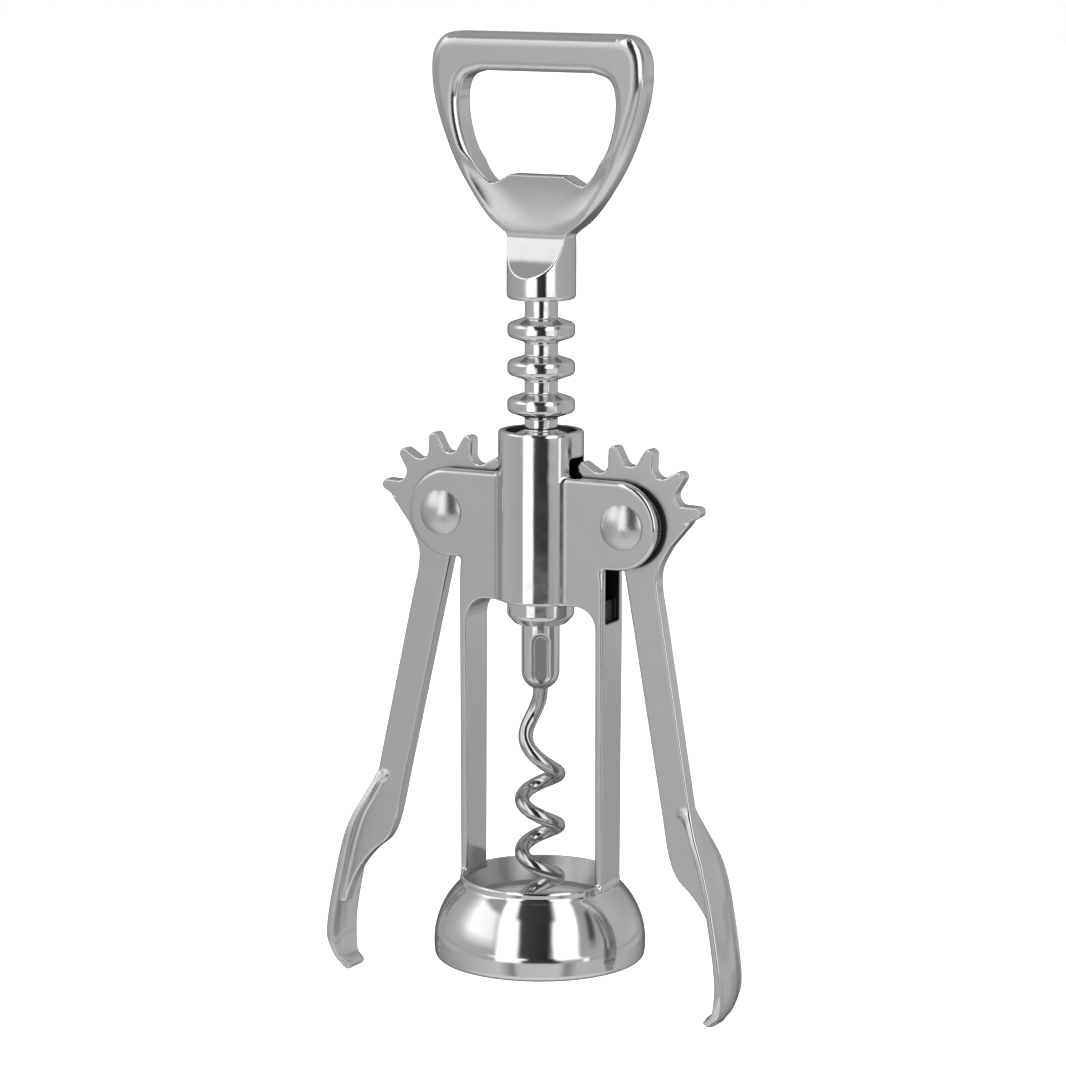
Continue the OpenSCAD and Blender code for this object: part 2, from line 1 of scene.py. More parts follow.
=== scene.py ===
import logging
import math
from dataclasses import dataclass, field, replace
from enum import Enum
from typing import Callable, Sequence

import bpy
import numpy as np
from mathutils import Matrix, Vector


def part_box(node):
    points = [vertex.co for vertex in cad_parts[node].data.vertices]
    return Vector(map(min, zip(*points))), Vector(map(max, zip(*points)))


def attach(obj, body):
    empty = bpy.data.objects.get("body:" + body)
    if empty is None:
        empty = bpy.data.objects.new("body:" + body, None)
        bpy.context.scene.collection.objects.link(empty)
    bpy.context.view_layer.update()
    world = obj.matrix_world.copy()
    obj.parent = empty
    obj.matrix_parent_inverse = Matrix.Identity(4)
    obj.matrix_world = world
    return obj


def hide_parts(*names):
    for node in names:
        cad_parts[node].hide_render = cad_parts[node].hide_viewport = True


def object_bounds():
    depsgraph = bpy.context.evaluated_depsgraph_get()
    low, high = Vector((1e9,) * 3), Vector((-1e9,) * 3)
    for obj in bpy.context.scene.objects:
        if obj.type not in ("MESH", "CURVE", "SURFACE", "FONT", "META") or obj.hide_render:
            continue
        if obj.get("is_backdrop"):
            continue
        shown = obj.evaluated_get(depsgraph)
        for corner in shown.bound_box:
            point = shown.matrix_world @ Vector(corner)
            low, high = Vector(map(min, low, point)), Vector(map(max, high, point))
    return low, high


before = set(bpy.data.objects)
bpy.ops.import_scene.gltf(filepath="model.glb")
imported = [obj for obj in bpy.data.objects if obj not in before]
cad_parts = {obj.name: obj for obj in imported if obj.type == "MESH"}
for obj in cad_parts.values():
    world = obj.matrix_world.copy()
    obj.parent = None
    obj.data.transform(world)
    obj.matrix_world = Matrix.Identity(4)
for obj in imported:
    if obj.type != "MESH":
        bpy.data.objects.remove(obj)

log = logging.getLogger("corkscrew")

MM = 0.001
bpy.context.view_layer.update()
POLISH = "polish"
# Point attribute of painted shade: darkening painted into the gaps, bores and pockets where shade falls.
PAINTED_SHADE = "painted_shade"

Points = np.ndarray
Values = np.ndarray
Field = Callable[[Points], Values]
Pair = tuple[float, float]
Corner = tuple[float, float, float]
Finishing = Callable[[Points, Points], tuple[Values, Values]]


class Rank(Enum):
    """How fine a surface is meshed, as the step between samples in millimetres."""

    SMALL = 0.15
    FINE = 0.22
    MEDIUM = 0.3


# ---- Distance fields: negative inside, in millimetres ----

def smooth_step(value: Values, low: float, high: float) -> Values:
    """Eases a value from 0 at low to 1 at high.

    Args:
        value: Values to ease.
        low: Where the result starts to leave 0.
        high: Where the result reaches 1.

    Returns:
        Eased values from 0 to 1.
    """
    t = np.clip((value - low) / (high - low), 0.0, 1.0)
    return t * t * (3.0 - 2.0 * t)


def round_join(a: Values, b: Values, radius: float) -> Values:
    """Joins two fields, with a round fillet where they meet.

    Args:
        a: First field.
        b: Second field.
        radius: Radius of the fillet.

    Returns:
        The joined field.
    """
    corner = np.hypot(np.maximum(radius - a, 0.0), np.maximum(radius - b, 0.0))
    return np.maximum(radius, np.minimum(a, b)) - corner


def round_meet(a: Values, b: Values, radius: float) -> Values:
    """Keeps what two fields share, with a round outer edge.

    Args:
        a: First field.
        b: Second field.
        radius: Radius of the edge.

    Returns:
        The shared field.
    """
    return -round_join(-a, -b, radius)


def round_cut(a: Values, tool: Values, radius: float) -> Values:
    """Cuts a tool out of a field and rounds the cut's edges.

    Args:
        a: Field to cut.
        tool: Field that is taken away.
        radius: Radius of the edges.

    Returns:
        The cut field.
    """
    return round_meet(a, -tool, radius)


def segment_distance(x: Values, z: Values, start: Pair, end: Pair) -> Values:
    """Measures the distance to a straight segment in a plane.

    Args:
        x: First coordinates.
        z: Second coordinates.
        start: One end of the segment.
        end: The other end.

    Returns:
        Distances to the segment.
    """
    dx, dz = end[0] - start[0], end[1] - start[1]
    t = np.clip(((x - start[0]) * dx + (z - start[1]) * dz) / (dx * dx + dz * dz), 0.0, 1.0)
    return np.hypot(x - start[0] - t * dx, z - start[1] - t * dz)


def line_distance(x: Values, z: Values, line: Sequence[Pair]) -> Values:
    """Measures the distance to an open line of segments.

    Args:
        x: First coordinates.
        z: Second coordinates.
        line: Points of the line.

    Returns:
        Distances to the line.
    """
    best = np.full(x.shape, np.inf)
    for start, end in zip(line[:-1], line[1:]):
        best = np.minimum(best, segment_distance(x, z, start, end))
    return best


def outline_distance(x: Values, z: Values, outline: Sequence[Pair]) -> Values:
    """Measures the signed distance to a closed outline.

    Args:
        x: First coordinates.
        z: Second coordinates.
        outline: Corners in order.

    Returns:
        Distances, negative inside.
    """
    best = line_distance(x, z, [*outline, outline[0]])
    inside = np.zeros(x.shape, bool)
    for (x0, z0), (x1, z1) in zip(outline, [*outline[1:], outline[0]]):
        if z0 != z1:
            crosses = (z0 > z) != (z1 > z)
            inside ^= crosses & (x < (x1 - x0) * (z - z0) / (z1 - z0) + x0)
    return np.where(inside, -best, best)


def slab(value: Values, low: float, high: float) -> Values:
    """Signed distance to the space between two parallel planes."""
    return np.maximum(low - value, value - high)


def smooth_line(points: Sequence[Pair], steps: int = 8) -> list[Pair]:
    """Runs a smooth curve through points.

    Args:
        points: Points that the curve passes.
        steps: Segments between two points.

    Returns:
        Points along the curve.
    """
    p = [points[0], *points, points[-1]]
    curve: list[Pair] = []
    for a, b, c, d in zip(p[:-3], p[1:-2], p[2:-1], p[3:]):
        for i in range(steps):
            t = i / steps
            curve.append(tuple(
                0.5 * (2 * b[k] + (c[k] - a[k]) * t + (2 * a[k] - 5 * b[k] + 4 * c[k] - d[k]) * t * t
                       + (3 * b[k] - a[k] - 3 * c[k] + d[k]) * t ** 3) for k in (0, 1)))
    curve.append(points[-1])
    return curve


# ---- Meshes ----

@dataclass
class Surface:
    """A mesh in millimetres, with its polish (0 satin to 1 bright) and painted shade (0 none to 1 dark)."""

    points: Points
    quads: np.ndarray
    normals: Points
    polish: Values
    painted_shade: Values

    def mirrored(self) -> "Surface":
        """Returns the same surface mirrored in X."""
        flip = np.array([-1.0, 1.0, 1.0])
        return replace(self, points=self.points * flip, quads=self.quads[:, ::-1],
                       normals=self.normals * flip)

    def turned(self, degrees: float, pivot: Points) -> "Surface":
        """Turns the surface about the Y direction and sets it on a pivot.

        Args:
            degrees: Angle, from Z towards X.
            pivot: Where the surface's origin goes.

        Returns:
            The placed surface.
        """
        c, s = math.cos(math.radians(degrees)), math.sin(math.radians(degrees))
        turn = np.array([[c, 0.0, -s], [0.0, 1.0, 0.0], [s, 0.0, c]])
        return replace(self, points=self.points @ turn + pivot, normals=self.normals @ turn)

    def build(self, name: str) -> bpy.types.Object:
        """Makes the Blender object of this surface.

        Args:
            name: Name of the piece.

        Returns:
            The new object.
        """
        mesh = bpy.data.meshes.new(name)
        count = len(self.quads)
        mesh.vertices.add(len(self.points))
        mesh.vertices.foreach_set("co", (self.points * MM).astype(np.float32).ravel())
        mesh.loops.add(4 * count)
        mesh.loops.foreach_set("vertex_index", self.quads.astype(np.int32).ravel())
        mesh.polygons.add(count)
        mesh.polygons.foreach_set("loop_start", np.arange(0, 4 * count, 4, dtype=np.int32))
        mesh.update(calc_edges=True)
        mesh.polygons.foreach_set("use_smooth", np.ones(count, bool))
        mesh.normals_split_custom_set_from_vertices(self.normals.tolist())
        for label, values in ((POLISH, self.polish), (PAINTED_SHADE, self.painted_shade)):
            attribute = mesh.attributes.new(label, "FLOAT", "POINT")
            attribute.data.foreach_set("value", values.astype(np.float32))
        piece = bpy.data.objects.new(name, mesh)
        bpy.context.scene.collection.objects.link(piece)
        return piece


@dataclass
class FieldMesher:
    """Meshes the zero surface of a distance field inside a box."""

    low: Sequence[float]
    high: Sequence[float]
    step: float
    block: int = 8
    chunk: int = 60000
    slope_step: float = 0.01

    def evaluate(self, shape: Field, points: Points) -> Values:
        """Evaluates a field in chunks that suit the processor's cache."""
        parts = [shape(points[i:i + self.chunk]) for i in range(0, len(points), self.chunk)]
        return np.concatenate(parts)

    def sample(self, shape: Field) -> Values:
        """Samples a field on a grid, closely only near the surface.

        Args:
            shape: Field to sample.

        Returns:
            Three-dimensional array of values.
        """
        b, low = self.block, np.array(self.low, float)
        counts = np.ceil((np.array(self.high) - low) / (self.step * b)).astype(int)
        corners = np.stack(np.meshgrid(*[np.arange(n) for n in counts], indexing="ij"), -1).reshape(-1, 3)
        centres = low + self.step * (corners * b + (b - 1) / 2)
        coarse = self.evaluate(shape, centres)
        near = np.abs(coarse) < self.step * (b / 2 * math.sqrt(3.0) + 1.5)
        inner = np.stack(np.meshgrid(*[np.arange(b)] * 3, indexing="ij"), -1).reshape(-1, 3)
        close = (low + self.step * (corners[near][:, None, :] * b + inner[None])).reshape(-1, 3)
        values = np.repeat(coarse[:, None], b ** 3, axis=1)
        values[near] = self.evaluate(shape, close).reshape(-1, b ** 3)
        grid = values.reshape(*counts, b, b, b).transpose(0, 3, 1, 4, 2, 5)
        return grid.reshape(counts * b)

    def quads(self, grid: Values) -> tuple[Points, np.ndarray]:
        """Wraps the grid's sign changes in quads, one point to a cell.

        Args:
            grid: Sampled field.

        Returns:
            Points and quads.
        """
        inside = grid < 0.0
        cells, places = [], []
        for axis in range(3):
            first = tuple(slice(None, -1) if k == axis else slice(None) for k in range(3))
            second = tuple(slice(1, None) if k == axis else slice(None) for k in range(3))
            index = np.argwhere(inside[first] != inside[second])
            a = grid[first][tuple(index.T)]
            b = grid[second][tuple(index.T)]
            place = index.astype(float)
            place[:, axis] += a / (a - b)
            u, v = (axis + 1) % 3, (axis + 2) % 3
            ring = []
            for du, dv in ((-1, -1), (0, -1), (0, 0), (-1, 0)):
                cell = index.copy()
                cell[:, u] += du
                cell[:, v] += dv
                ring.append(np.ravel_multi_index(cell.T, grid.shape))
            quad = np.stack(ring, 1)
            quad[a >= 0.0] = quad[a >= 0.0][:, ::-1]
            cells.append(quad)
            places.append(np.repeat(place, 4, axis=0))
        names, quads = np.unique(np.concatenate(cells).ravel(), return_inverse=True)
        spots = np.concatenate(places)
        share = np.bincount(quads, minlength=len(names))
        middle = np.stack([np.bincount(quads, spots[:, k], len(names)) for k in range(3)], 1)
        points = np.array(self.low, float) + self.step * middle / share[:, None]
        return points, quads.reshape(-1, 4)

    def slope(self, shape: Field, points: Points) -> Points:
        """Finds a field's gradient from four samples round each point."""
        h = self.slope_step
        corners = np.array([[1, -1, -1], [-1, -1, 1], [-1, 1, -1], [1, 1, 1]], float)
        return sum(k * self.evaluate(shape, points + h * k)[:, None] for k in corners) / (4.0 * h)

    def settle(self, shape: Field, points: Points, rounds: int = 2) -> Points:
        """Moves points along the gradient on to the zero surface."""
        for _ in range(rounds):
            gradient = self.slope(shape, points)
            size = np.maximum((gradient ** 2).sum(1), 0.25)
            move = np.clip(self.evaluate(shape, points) / size, -self.step, self.step)
            points = points - move[:, None] * gradient
        return points

    def relax(self, points: Points, quads: np.ndarray) -> Points:
        """Moves each point half way to the middle of its neighbours."""
        edges = np.concatenate([quads[:, [k, (k + 1) % 4]] for k in range(4)])
        a, b = np.concatenate([edges, edges[:, ::-1]]).T
        share = np.bincount(a, minlength=len(points))
        middle = np.stack([np.bincount(a, points[b, k], len(points)) for k in range(3)], 1)
        return 0.5 * points + 0.5 * middle / share[:, None]

    def build(self, shape: Field, finish: Finishing) -> Surface:
        """Meshes a field.

        Args:
            shape: Field of the solid.
            finish: Gives the polish and the painted shade for points and their normals.

        Returns:
            The finished surface.
        """
        points, quads = self.quads(self.sample(shape))
        points = self.settle(shape, self.relax(self.settle(shape, points), quads))
        normals = self.slope(shape, points)
        normals /= np.maximum(np.linalg.norm(normals, axis=1), 1e-9)[:, None]
        return Surface(points, quads, normals, *finish(points, normals))


def round_profile(corners: Sequence[Corner], spread: float = 12.0) -> tuple[Points, Points]:
    """Rounds the corners of an open profile and finds its normals.

    Args:
        corners: Radius, height and rounding of each corner, from the lower end to the upper one.
        spread: Largest angle in degrees between two points of an arc.

    Returns:
        Points along the profile and their outward normals.
    """
    points, normals = [], []
    raw = np.array([c[:2] for c in corners], float)
    for i, corner in enumerate(corners):
        before = raw[i] - raw[max(i - 1, 0)] if i else raw[1] - raw[0]
        after = raw[min(i + 1, len(raw) - 1)] - raw[i] if i + 1 < len(raw) else before
        before, after = before / np.linalg.norm(before), after / np.linalg.norm(after)
        turn = math.atan2(before[0] * after[1] - before[1] * after[0], float(before @ after))
        if i in (0, len(raw) - 1) or corner[2] == 0.0 or abs(turn) < 1e-4:
            run = (before + after) / np.linalg.norm(before + after)
            points.append(raw[i])
            normals.append([run[1], -run[0]])
            continue
        radius, side = corner[2], math.copysign(1.0, turn)
        start = raw[i] - before * radius * math.tan(abs(turn) / 2.0)
        centre = start + radius * side * np.array([-before[1], before[0]])
        steps = max(2, math.ceil(math.degrees(abs(turn)) / spread))
        for k in range(steps + 1):
            c, s = math.cos(turn * k / steps), math.sin(turn * k / steps)
            normal = np.array([before[1] * c + before[0] * s, before[1] * s - before[0] * c])
            points.append(centre + radius * side * normal)
            normals.append(normal)
    return np.array(points), np.array(normals)


def ring_quads(rows: int, sides: int) -> np.ndarray:
    """Joins rows of points round an axis with quads.

    Args:
        rows: Number of rows.
        sides: Points in each row.

    Returns:
        The quads, row by row.
    """
    here = np.arange(sides)
    ahead = (here + 1) % sides
    return np.concatenate([
        np.stack([i * sides + here, i * sides + ahead, (i + 1) * sides + ahead, (i + 1) * sides + here], 1)
        for i in range(rows - 1)])


def lathe(corners: Sequence[Corner], polish: float, sides: int = 128) -> Surface:
    """Turns a profile about the Z direction into a closed surface.

    Args:
        corners: Radius, height and rounding of each corner, from the lower end to the upper one.
        polish: Brightness of the finish.
        sides: Sides of the turned surface.

    Returns:
        The turned surface.
    """
    profile, profile_normals = round_profile(corners)
    profile[[0, -1], 0] = np.maximum(profile[[0, -1], 0], 1e-4)
    angles = np.arange(sides) * 2.0 * math.pi / sides
    c, s = np.cos(angles)[None, :], np.sin(angles)[None, :]
    rise = np.ones_like(c)

    def swept(line: Points) -> Points:
        """Turns radii and heights about the axis, one row for each."""
        return np.stack([line[:, :1] * c, line[:, :1] * s, line[:, 1:] * rise], -1).reshape(-1, 3)

    points = swept(profile)
    return Surface(points, ring_quads(len(profile), sides), swept(profile_normals),
                   np.full(len(points), polish), np.zeros(len(points)))


# ---- The corkscrew's pieces ----

@dataclass
class Datum:
    """Sizes that several pieces share, in millimetres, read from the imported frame."""

    pivot_x: float
    pivot_z: float
    half_depth: float
    bell_r: float
    sleeve_top: float
    hub_z: float
    handle_top: float
    loop_half: float
    ring_r: float
    collar_z: float
    journal_top: float
    socket_low: float
    socket_top: float
    worm_low: float
    worm_top: float

    @classmethod
    def from_frame(cls) -> "Datum":
        """Reads the sizes from the boxes of the CAD nodes."""
        def ends(node: str) -> tuple[Points, Points]:
            """Returns the two corners of a node's box."""
            low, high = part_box(node)
            return np.array(low) / MM, np.array(high) / MM

        rivet, bell, handle = ends("right_rivet"), ends("bell_frame"), ends("opener_handle")
        rack, socket, worm = ends("ring_rack"), ends("worm_socket"), ends("worm")
        middle = (rivet[0] + rivet[1]) / 2.0
        return cls(
            pivot_x=middle[0], pivot_z=middle[2], half_depth=rivet[1][1] - Rivet.head_h, bell_r=bell[1][1],
            sleeve_top=bell[1][2], hub_z=handle[0][2], handle_top=handle[1][2], loop_half=handle[1][0],
            ring_r=rack[1][0], collar_z=rack[0][2], journal_top=rack[1][2], socket_low=socket[0][2],
            socket_top=socket[1][2], worm_low=worm[0][2], worm_top=worm[1][2])


@dataclass
class Rivet:
    """A rivet through a lever and both cheeks, with a domed head at each end."""

    datum: Datum
    side: int
    shank_r: float = 2.2
    head_r: float = 4.25
    head_h: float = 1.8
    rim_h: float = 0.25
    polish: float = 0.3

    def surface(self) -> Surface:
        """Turns the rivet and lays it along Y through its pivot."""
        base, top = self.datum.half_depth, self.datum.half_depth + self.head_h
        dome_r = (self.head_r ** 2 + (self.head_h - self.rim_h) ** 2) / (2.0 * (self.head_h - self.rim_h))
        reach = math.asin(self.head_r / dome_r)
        dome = [(dome_r * math.sin(reach * t), top - dome_r * (1.0 - math.cos(reach * t)), 0.0)
                for t in (*(0.12 * k for k in range(8)), 0.94)]
        upper = [(self.shank_r, base, 0.0), (self.head_r, base, 0.1),
                 (self.head_r, base + self.rim_h, 0.15), *reversed(dome)]
        lower = [(r, -h, e) for r, h, e in reversed(upper)]
        body = lathe([*lower, *upper], self.polish, 96)
        stand = np.array([[1.0, 0.0, 0.0], [0.0, 0.0, -1.0], [0.0, 1.0, 0.0]])
        place = np.array([self.side * self.datum.pivot_x, 0.0, self.datum.pivot_z])
        return replace(body, points=body.points @ stand + place, normals=body.normals @ stand)


@dataclass
class RingRack:
    """The turned bar with rings that the gears drive up and down."""

    datum: Datum
    neck_r: float = 3.1
    pitch: float = 7.0
    rim_w: float = 2.4
    flank: float = 19.0
    collar_h: float = 6.3
    rings: range = range(-1, 6)

    def surface(self) -> Surface:
        """Turns the bar with its collar, rings and journal."""
        d, r = self.datum, self.datum.ring_r
        lean = (r - self.neck_r) * math.tan(math.radians(self.flank))
        collar_top = d.collar_z + self.collar_h
        line = [(0.0, d.collar_z, 0.0), (r - 1.4, d.collar_z, 0.2), (r, d.collar_z + 1.5, 1.2),
                (r, collar_top, 0.45), (self.neck_r, collar_top + lean, 0.4)]
        for k in self.rings:
            z, half = d.pivot_z + k * self.pitch, self.rim_w / 2.0
            line += [(self.neck_r, z - half - lean, 0.4), (r, z - half, 1.0), (r, z + half, 1.0),
                     (self.neck_r, z + half + lean, 0.4)]
        line += [(self.neck_r, d.journal_top - 0.4, 0.1), (self.neck_r - 0.4, d.journal_top, 0.1),
                 (0.0, d.journal_top, 0.0)]
        return lathe(line, 1.0)


@dataclass
class Lever:
    """A lever cast in one piece: gear sector, boss, arm, web and finger pad.

    It is drawn hanging straight down from its rivet at the origin, with its outer side at +X.
    """

    datum: Datum
    teeth: int = 7
    step_deg: float = 30.0
    first_deg: float = 3.5
    root_r: float = 11.0
    tip_r: float = 14.9
    tooth_half: float = 1.41
    pitch_r: float = 12.64
    flank_deg: float = 14.75
    tooth_foot: float = 8.0
    tooth_round: float = 0.68
    root_round: float = 0.8
    disc_low: float = -2.4
    blade_t: float = 3.0
    blade_edge: float = 0.42
    boss_r: float = 6.6
    boss_t: float = 5.0
    hole_r: float = 2.26
    arm_in: float = 2.3
    arm_out: float = 3.9
    pad_start: float = 55.5
    pad_len: float = 39.1
    pad_bulge: float = 3.18
    pad_w: float = 10.0
    pad_t: float = 1.4
    pad_hollow: float = 0.5
    tip_narrow: float = 2.6
    web_len: float = 26.5
    lip_r: float = 1.1
    lip_half: float = 2.3
    lip_shift: Pair = (0.35, 0.25)

    def pad_line(self, parts: int = 8) -> list[Pair]:
        """Returns the line through the middle of the pad's thickness, from the arm to the tip."""
        o, b, s, n = self.arm_out - self.pad_t / 2.0, self.pad_bulge, self.pad_start, self.pad_len
        shares = [(-0.3, -0.03), (0.0, 0.0), (0.38, 0.1), (0.78, 0.21), (0.97, 0.35), (1.0, 0.52),
                  (0.95, 0.69), (0.8, 0.81), (0.48, 0.888), (0.0, 0.947), (-0.62, 0.975)]
        return smooth_line([(o + b * across, -s - n * along) for across, along in shares], parts)

    def tooth(self, x: Values, z: Values) -> Values:
        """Field of all teeth: one tapered tooth repeated round the rivet."""
        angle = np.degrees(np.arctan2(z, x))
        angle = np.where(angle < self.first_deg - self.step_deg * 2.0, angle + 360.0, angle)
        number = np.clip(np.round((angle - self.first_deg) / self.step_deg), 0, self.teeth - 1)
        turn = np.radians(self.first_deg + number * self.step_deg)
        out = x * np.cos(turn) + z * np.sin(turn)
        across = np.abs(z * np.cos(turn) - x * np.sin(turn))
        slope = math.radians(self.flank_deg)
        flank = (across - self.tooth_half) * math.cos(slope) + (out - self.pitch_r) * math.sin(slope)
        return round_meet(np.maximum(flank, self.tooth_foot - out), out - self.tip_r, self.tooth_round)

    def blade(self, x: Values, z: Values) -> Values:
        """Field of the gear sector, the arm and the web, seen from the front."""
        disc = np.maximum(np.hypot(x, z) - self.root_r, self.disc_low - z)
        gear = round_join(disc, self.tooth(x, z), self.root_round)
        s, o = self.pad_start, self.arm_out
        web_low, web_high = -s - self.web_len, -s - 1.0
        outer = [*smooth_line([(o, -17.0), (o, -12.5), (o + 0.9, -8.6), (self.root_r - 3.3, -4.9)]),
                 (self.tip_r - 2.2, -0.8)]
        inner = smooth_line([
            (4.9, web_low), (o + 0.3, -s - 21.5), (o - 1.0, -s - 17.5), (o - 2.9, -s - 14.0),
            (-1.4, -s - 10.6), (-self.arm_in, -s - 6.0), (-self.arm_in, -s + 2.0)])
        back = [(p, q) for p, q in reversed(self.pad_line(3)) if web_low < q < web_high]
        outline = [(0.0, 0.0), (-5.9, -3.4), (-self.arm_in, -8.6), *reversed(inner), *back, *outer]
        return np.minimum(gear, outline_distance(x, z, outline))

    def shape(self, points: Points) -> Values:
        """Field of the whole lever."""
        x, y, z = points[:, 0], np.abs(points[:, 1]), points[:, 2]
        blade = round_meet(self.blade(x, z), y - self.blade_t / 2.0, self.blade_edge)
        line = self.pad_line()
        below = -z - self.pad_start
        widen = smooth_step(below, -1.5, 13.0)
        close = smooth_step(below, self.pad_len - 7.0, self.pad_len + 1.5)
        width = self.blade_t / 2.0 + (self.pad_w - self.blade_t) / 2.0 * np.sqrt(widen)
        width = width - self.tip_narrow * close
        hollow = self.pad_hollow * smooth_step(y, 0.6, 4.6)
        plate = line_distance(x + hollow, z, line) - self.pad_t / 2.0
        pad = round_meet(plate, y - width, 0.5)
        tip = (line[-1][0] + self.lip_shift[0], line[-1][1] + self.lip_shift[1])
        lip = np.hypot(x - tip[0], z - tip[1]) - self.lip_r
        pad = round_join(pad, round_meet(lip, y - self.lip_half, 0.7), 0.5)
        body = round_join(blade, pad, 0.9)
        boss = round_meet(np.hypot(x, z) - self.boss_r, y - self.boss_t / 2.0, 0.3)
        return round_cut(np.minimum(body, boss), np.hypot(x, z) - self.hole_r, 0.15)

    def finish(self, points: Points, normals: Points) -> tuple[Values, Values]:
        """Satin on the flat blade, brighter where it turns away, and painted shade where the cheeks cover
        it.
        """
        flat = smooth_step(np.abs(normals[:, 1]), 0.88, 0.985)
        reach = np.hypot(points[:, 0], points[:, 2])
        # The second value is painted shade: it darkens the blade's flats within the cheeks' reach, where
        # the cheeks shade the lever.
        return 0.9 * (1.0 - flat), flat * (1.0 - smooth_step(reach, 7.75, 8.2))

    def surface(self) -> Surface:
        """Meshes the lever about its rivet."""
        high, wide = self.tip_r + 1.0, self.pad_w / 2.0 + 1.0
        low = -self.pad_start - self.pad_len - 3.0
        mesher = FieldMesher((-high, -wide, low), (high, wide, high), Rank.FINE.value)
        return mesher.build(self.shape, self.finish)


@dataclass
class BellFrame:
    """The casting that holds everything: bell, legs, arch, cheeks and sleeve."""

    datum: Datum
    belly_z: float = 3.2
    rim_r: float = 15.1
    rim_z: float = 15.9
    band_h: float = 1.7
    mouth_r: float = 16.6
    throat_r: float = 13.0
    shoulder_z: float = 10.0
    flare_z: float = 11.2
    flare: float = 0.33
    sleeve_r: float = 8.0
    bore_r: float = 6.55
    sleeve_low: float = 68.5
    window: Pair = (72.6, 95.8)
    gap: float = 5.4
    space_r: float = 15.4
    recess_z: float = 65.6
    recess_x: float = 14.1
    leg_in: float = 13.45
    leg_out: float = 15.0
    foot_w: float = 8.0
    arch_r: float = 4.0
    cheek_r: float = 8.3
    cheek_inset: float = 1.3
    hole_r: float = 2.2

    def bell(self, radius: Values, z: Values) -> Values:
        """Field of the bell, over its radius and height."""
        start = self.rim_z - self.band_h
        dr, dz = self.datum.bell_r - self.rim_r - 0.2, start - self.belly_z
        arc_r = (dr * dr + dz * dz) / (2.0 * dr)
        dome = np.hypot(radius - self.datum.bell_r + arc_r, z - self.belly_z) - arc_r
        dome = round_meet(round_meet(dome, z - start - 0.2, 0.3), -z, 1.15)
        band = round_meet(radius - self.rim_r, slab(z, self.belly_z, self.rim_z), 0.5)
        hollow = round_meet(radius - self.mouth_r, z - self.shoulder_z, 2.2)
        hollow = round_join(hollow, radius - self.throat_r, 0.3)
        flare = (radius - self.throat_r - self.flare * np.clip(z - self.flare_z, 0.0, 6.0)) / math.hypot(
            1.0, self.flare)
        hollow = np.minimum(hollow, np.maximum(flare, self.flare_z - z))
        return round_cut(round_join(dome, band, 0.35), hollow, 0.25)

    def sides(self, x: Values, z: Values) -> Values:
        """Field of a cheek and its leg, seen from the front."""
        cheek_z = self.datum.pivot_z
        end = (self.datum.pivot_x - self.cheek_inset, cheek_z)
        cheek = segment_distance(x, z, (0.0, cheek_z), end) - self.cheek_r
        shoulder = np.maximum(x - self.leg_out, slab(z, self.sleeve_low, cheek_z))
        leg = np.maximum(slab(x, self.leg_in, self.leg_out), slab(z, self.rim_z - 1.0, cheek_z))
        stem = np.maximum(round_join(shoulder, leg, self.arch_r), x - self.leg_out)
        return round_join(stem, cheek, 0.5)

    def slot(self, x: Values, y: Values, z: Values) -> Values:
        """Field of the space for a lever between the cheeks, with the recess below it in the leg's side."""
        space = np.hypot(x - self.datum.pivot_x, z - self.datum.pivot_z) - self.space_r
        recess = np.maximum(self.recess_x - x, slab(z, self.recess_z, self.datum.pivot_z))
        return round_meet(y - self.gap / 2.0, np.minimum(space, recess), 0.3)

    def passage(self, x: Values, y: Values, z: Values) -> Values:
        """Field of the sleeve's bore and its side windows."""
        radius = np.hypot(x, y)
        window = round_meet(y - self.gap / 2.0, slab(z, *self.window), 0.5)
        window = np.maximum(window, x - self.sleeve_r - 2.0)
        return np.minimum(np.maximum(radius - self.bore_r, 40.0 - z), window)

    def shape(self, points: Points) -> Values:
        """Field of the whole casting."""
        x, y, z = np.abs(points[:, 0]), np.abs(points[:, 1]), points[:, 2]
        radius = np.hypot(x, y)
        depth = self.foot_w / 2.0 + (self.datum.half_depth - self.foot_w / 2.0) * np.clip(
            (z - self.rim_z) / (self.recess_z - self.rim_z), 0.0, 1.0)
        sides = round_meet(self.sides(x, z), y - depth, 0.5 + 0.4 * smooth_step(z, 72.0, 76.0))
        sides = round_cut(sides, self.slot(x, y, z), 0.2)
        sleeve = round_meet(radius - self.sleeve_r, slab(z, self.sleeve_low, self.datum.sleeve_top), 0.55)
        body = round_join(round_join(sides, sleeve, 0.7), self.bell(radius, z), 0.5)
        body = round_cut(body, self.passage(x, y, z), 0.25)
        hole = np.hypot(x - self.datum.pivot_x, z - self.datum.pivot_z) - self.hole_r
        return round_cut(body, hole, 0.1)

    def finish(self, points: Points, normals: Points) -> tuple[Values, Values]:
        """Bright on the bell and the sleeve, satin on the cheeks and in the throat, painted shade in the
        gaps and the bore.
        """
        x, y, z = np.abs(points[:, 0]), np.abs(points[:, 1]), points[:, 2]
        radius = np.hypot(x, y)
        inward = (normals[:, 0] * points[:, 0] + normals[:, 1] * points[:, 1]) / np.maximum(radius, 1e-6)
        throat = smooth_step(-inward, 0.2, 0.7) * (1.0 - smooth_step(z, self.rim_z - 0.1, self.rim_z))
        sides = 0.85 * (1.0 - smooth_step(np.abs(normals[:, 1]), 0.88, 0.985))
        bell = 1.0 - smooth_step(z, self.rim_z + 0.3, self.rim_z + 1.5)
        sleeve = (1.0 - smooth_step(radius, self.sleeve_r + 0.05, self.sleeve_r + 0.4)) * smooth_step(
            z, self.sleeve_low - 1.0, self.sleeve_low)
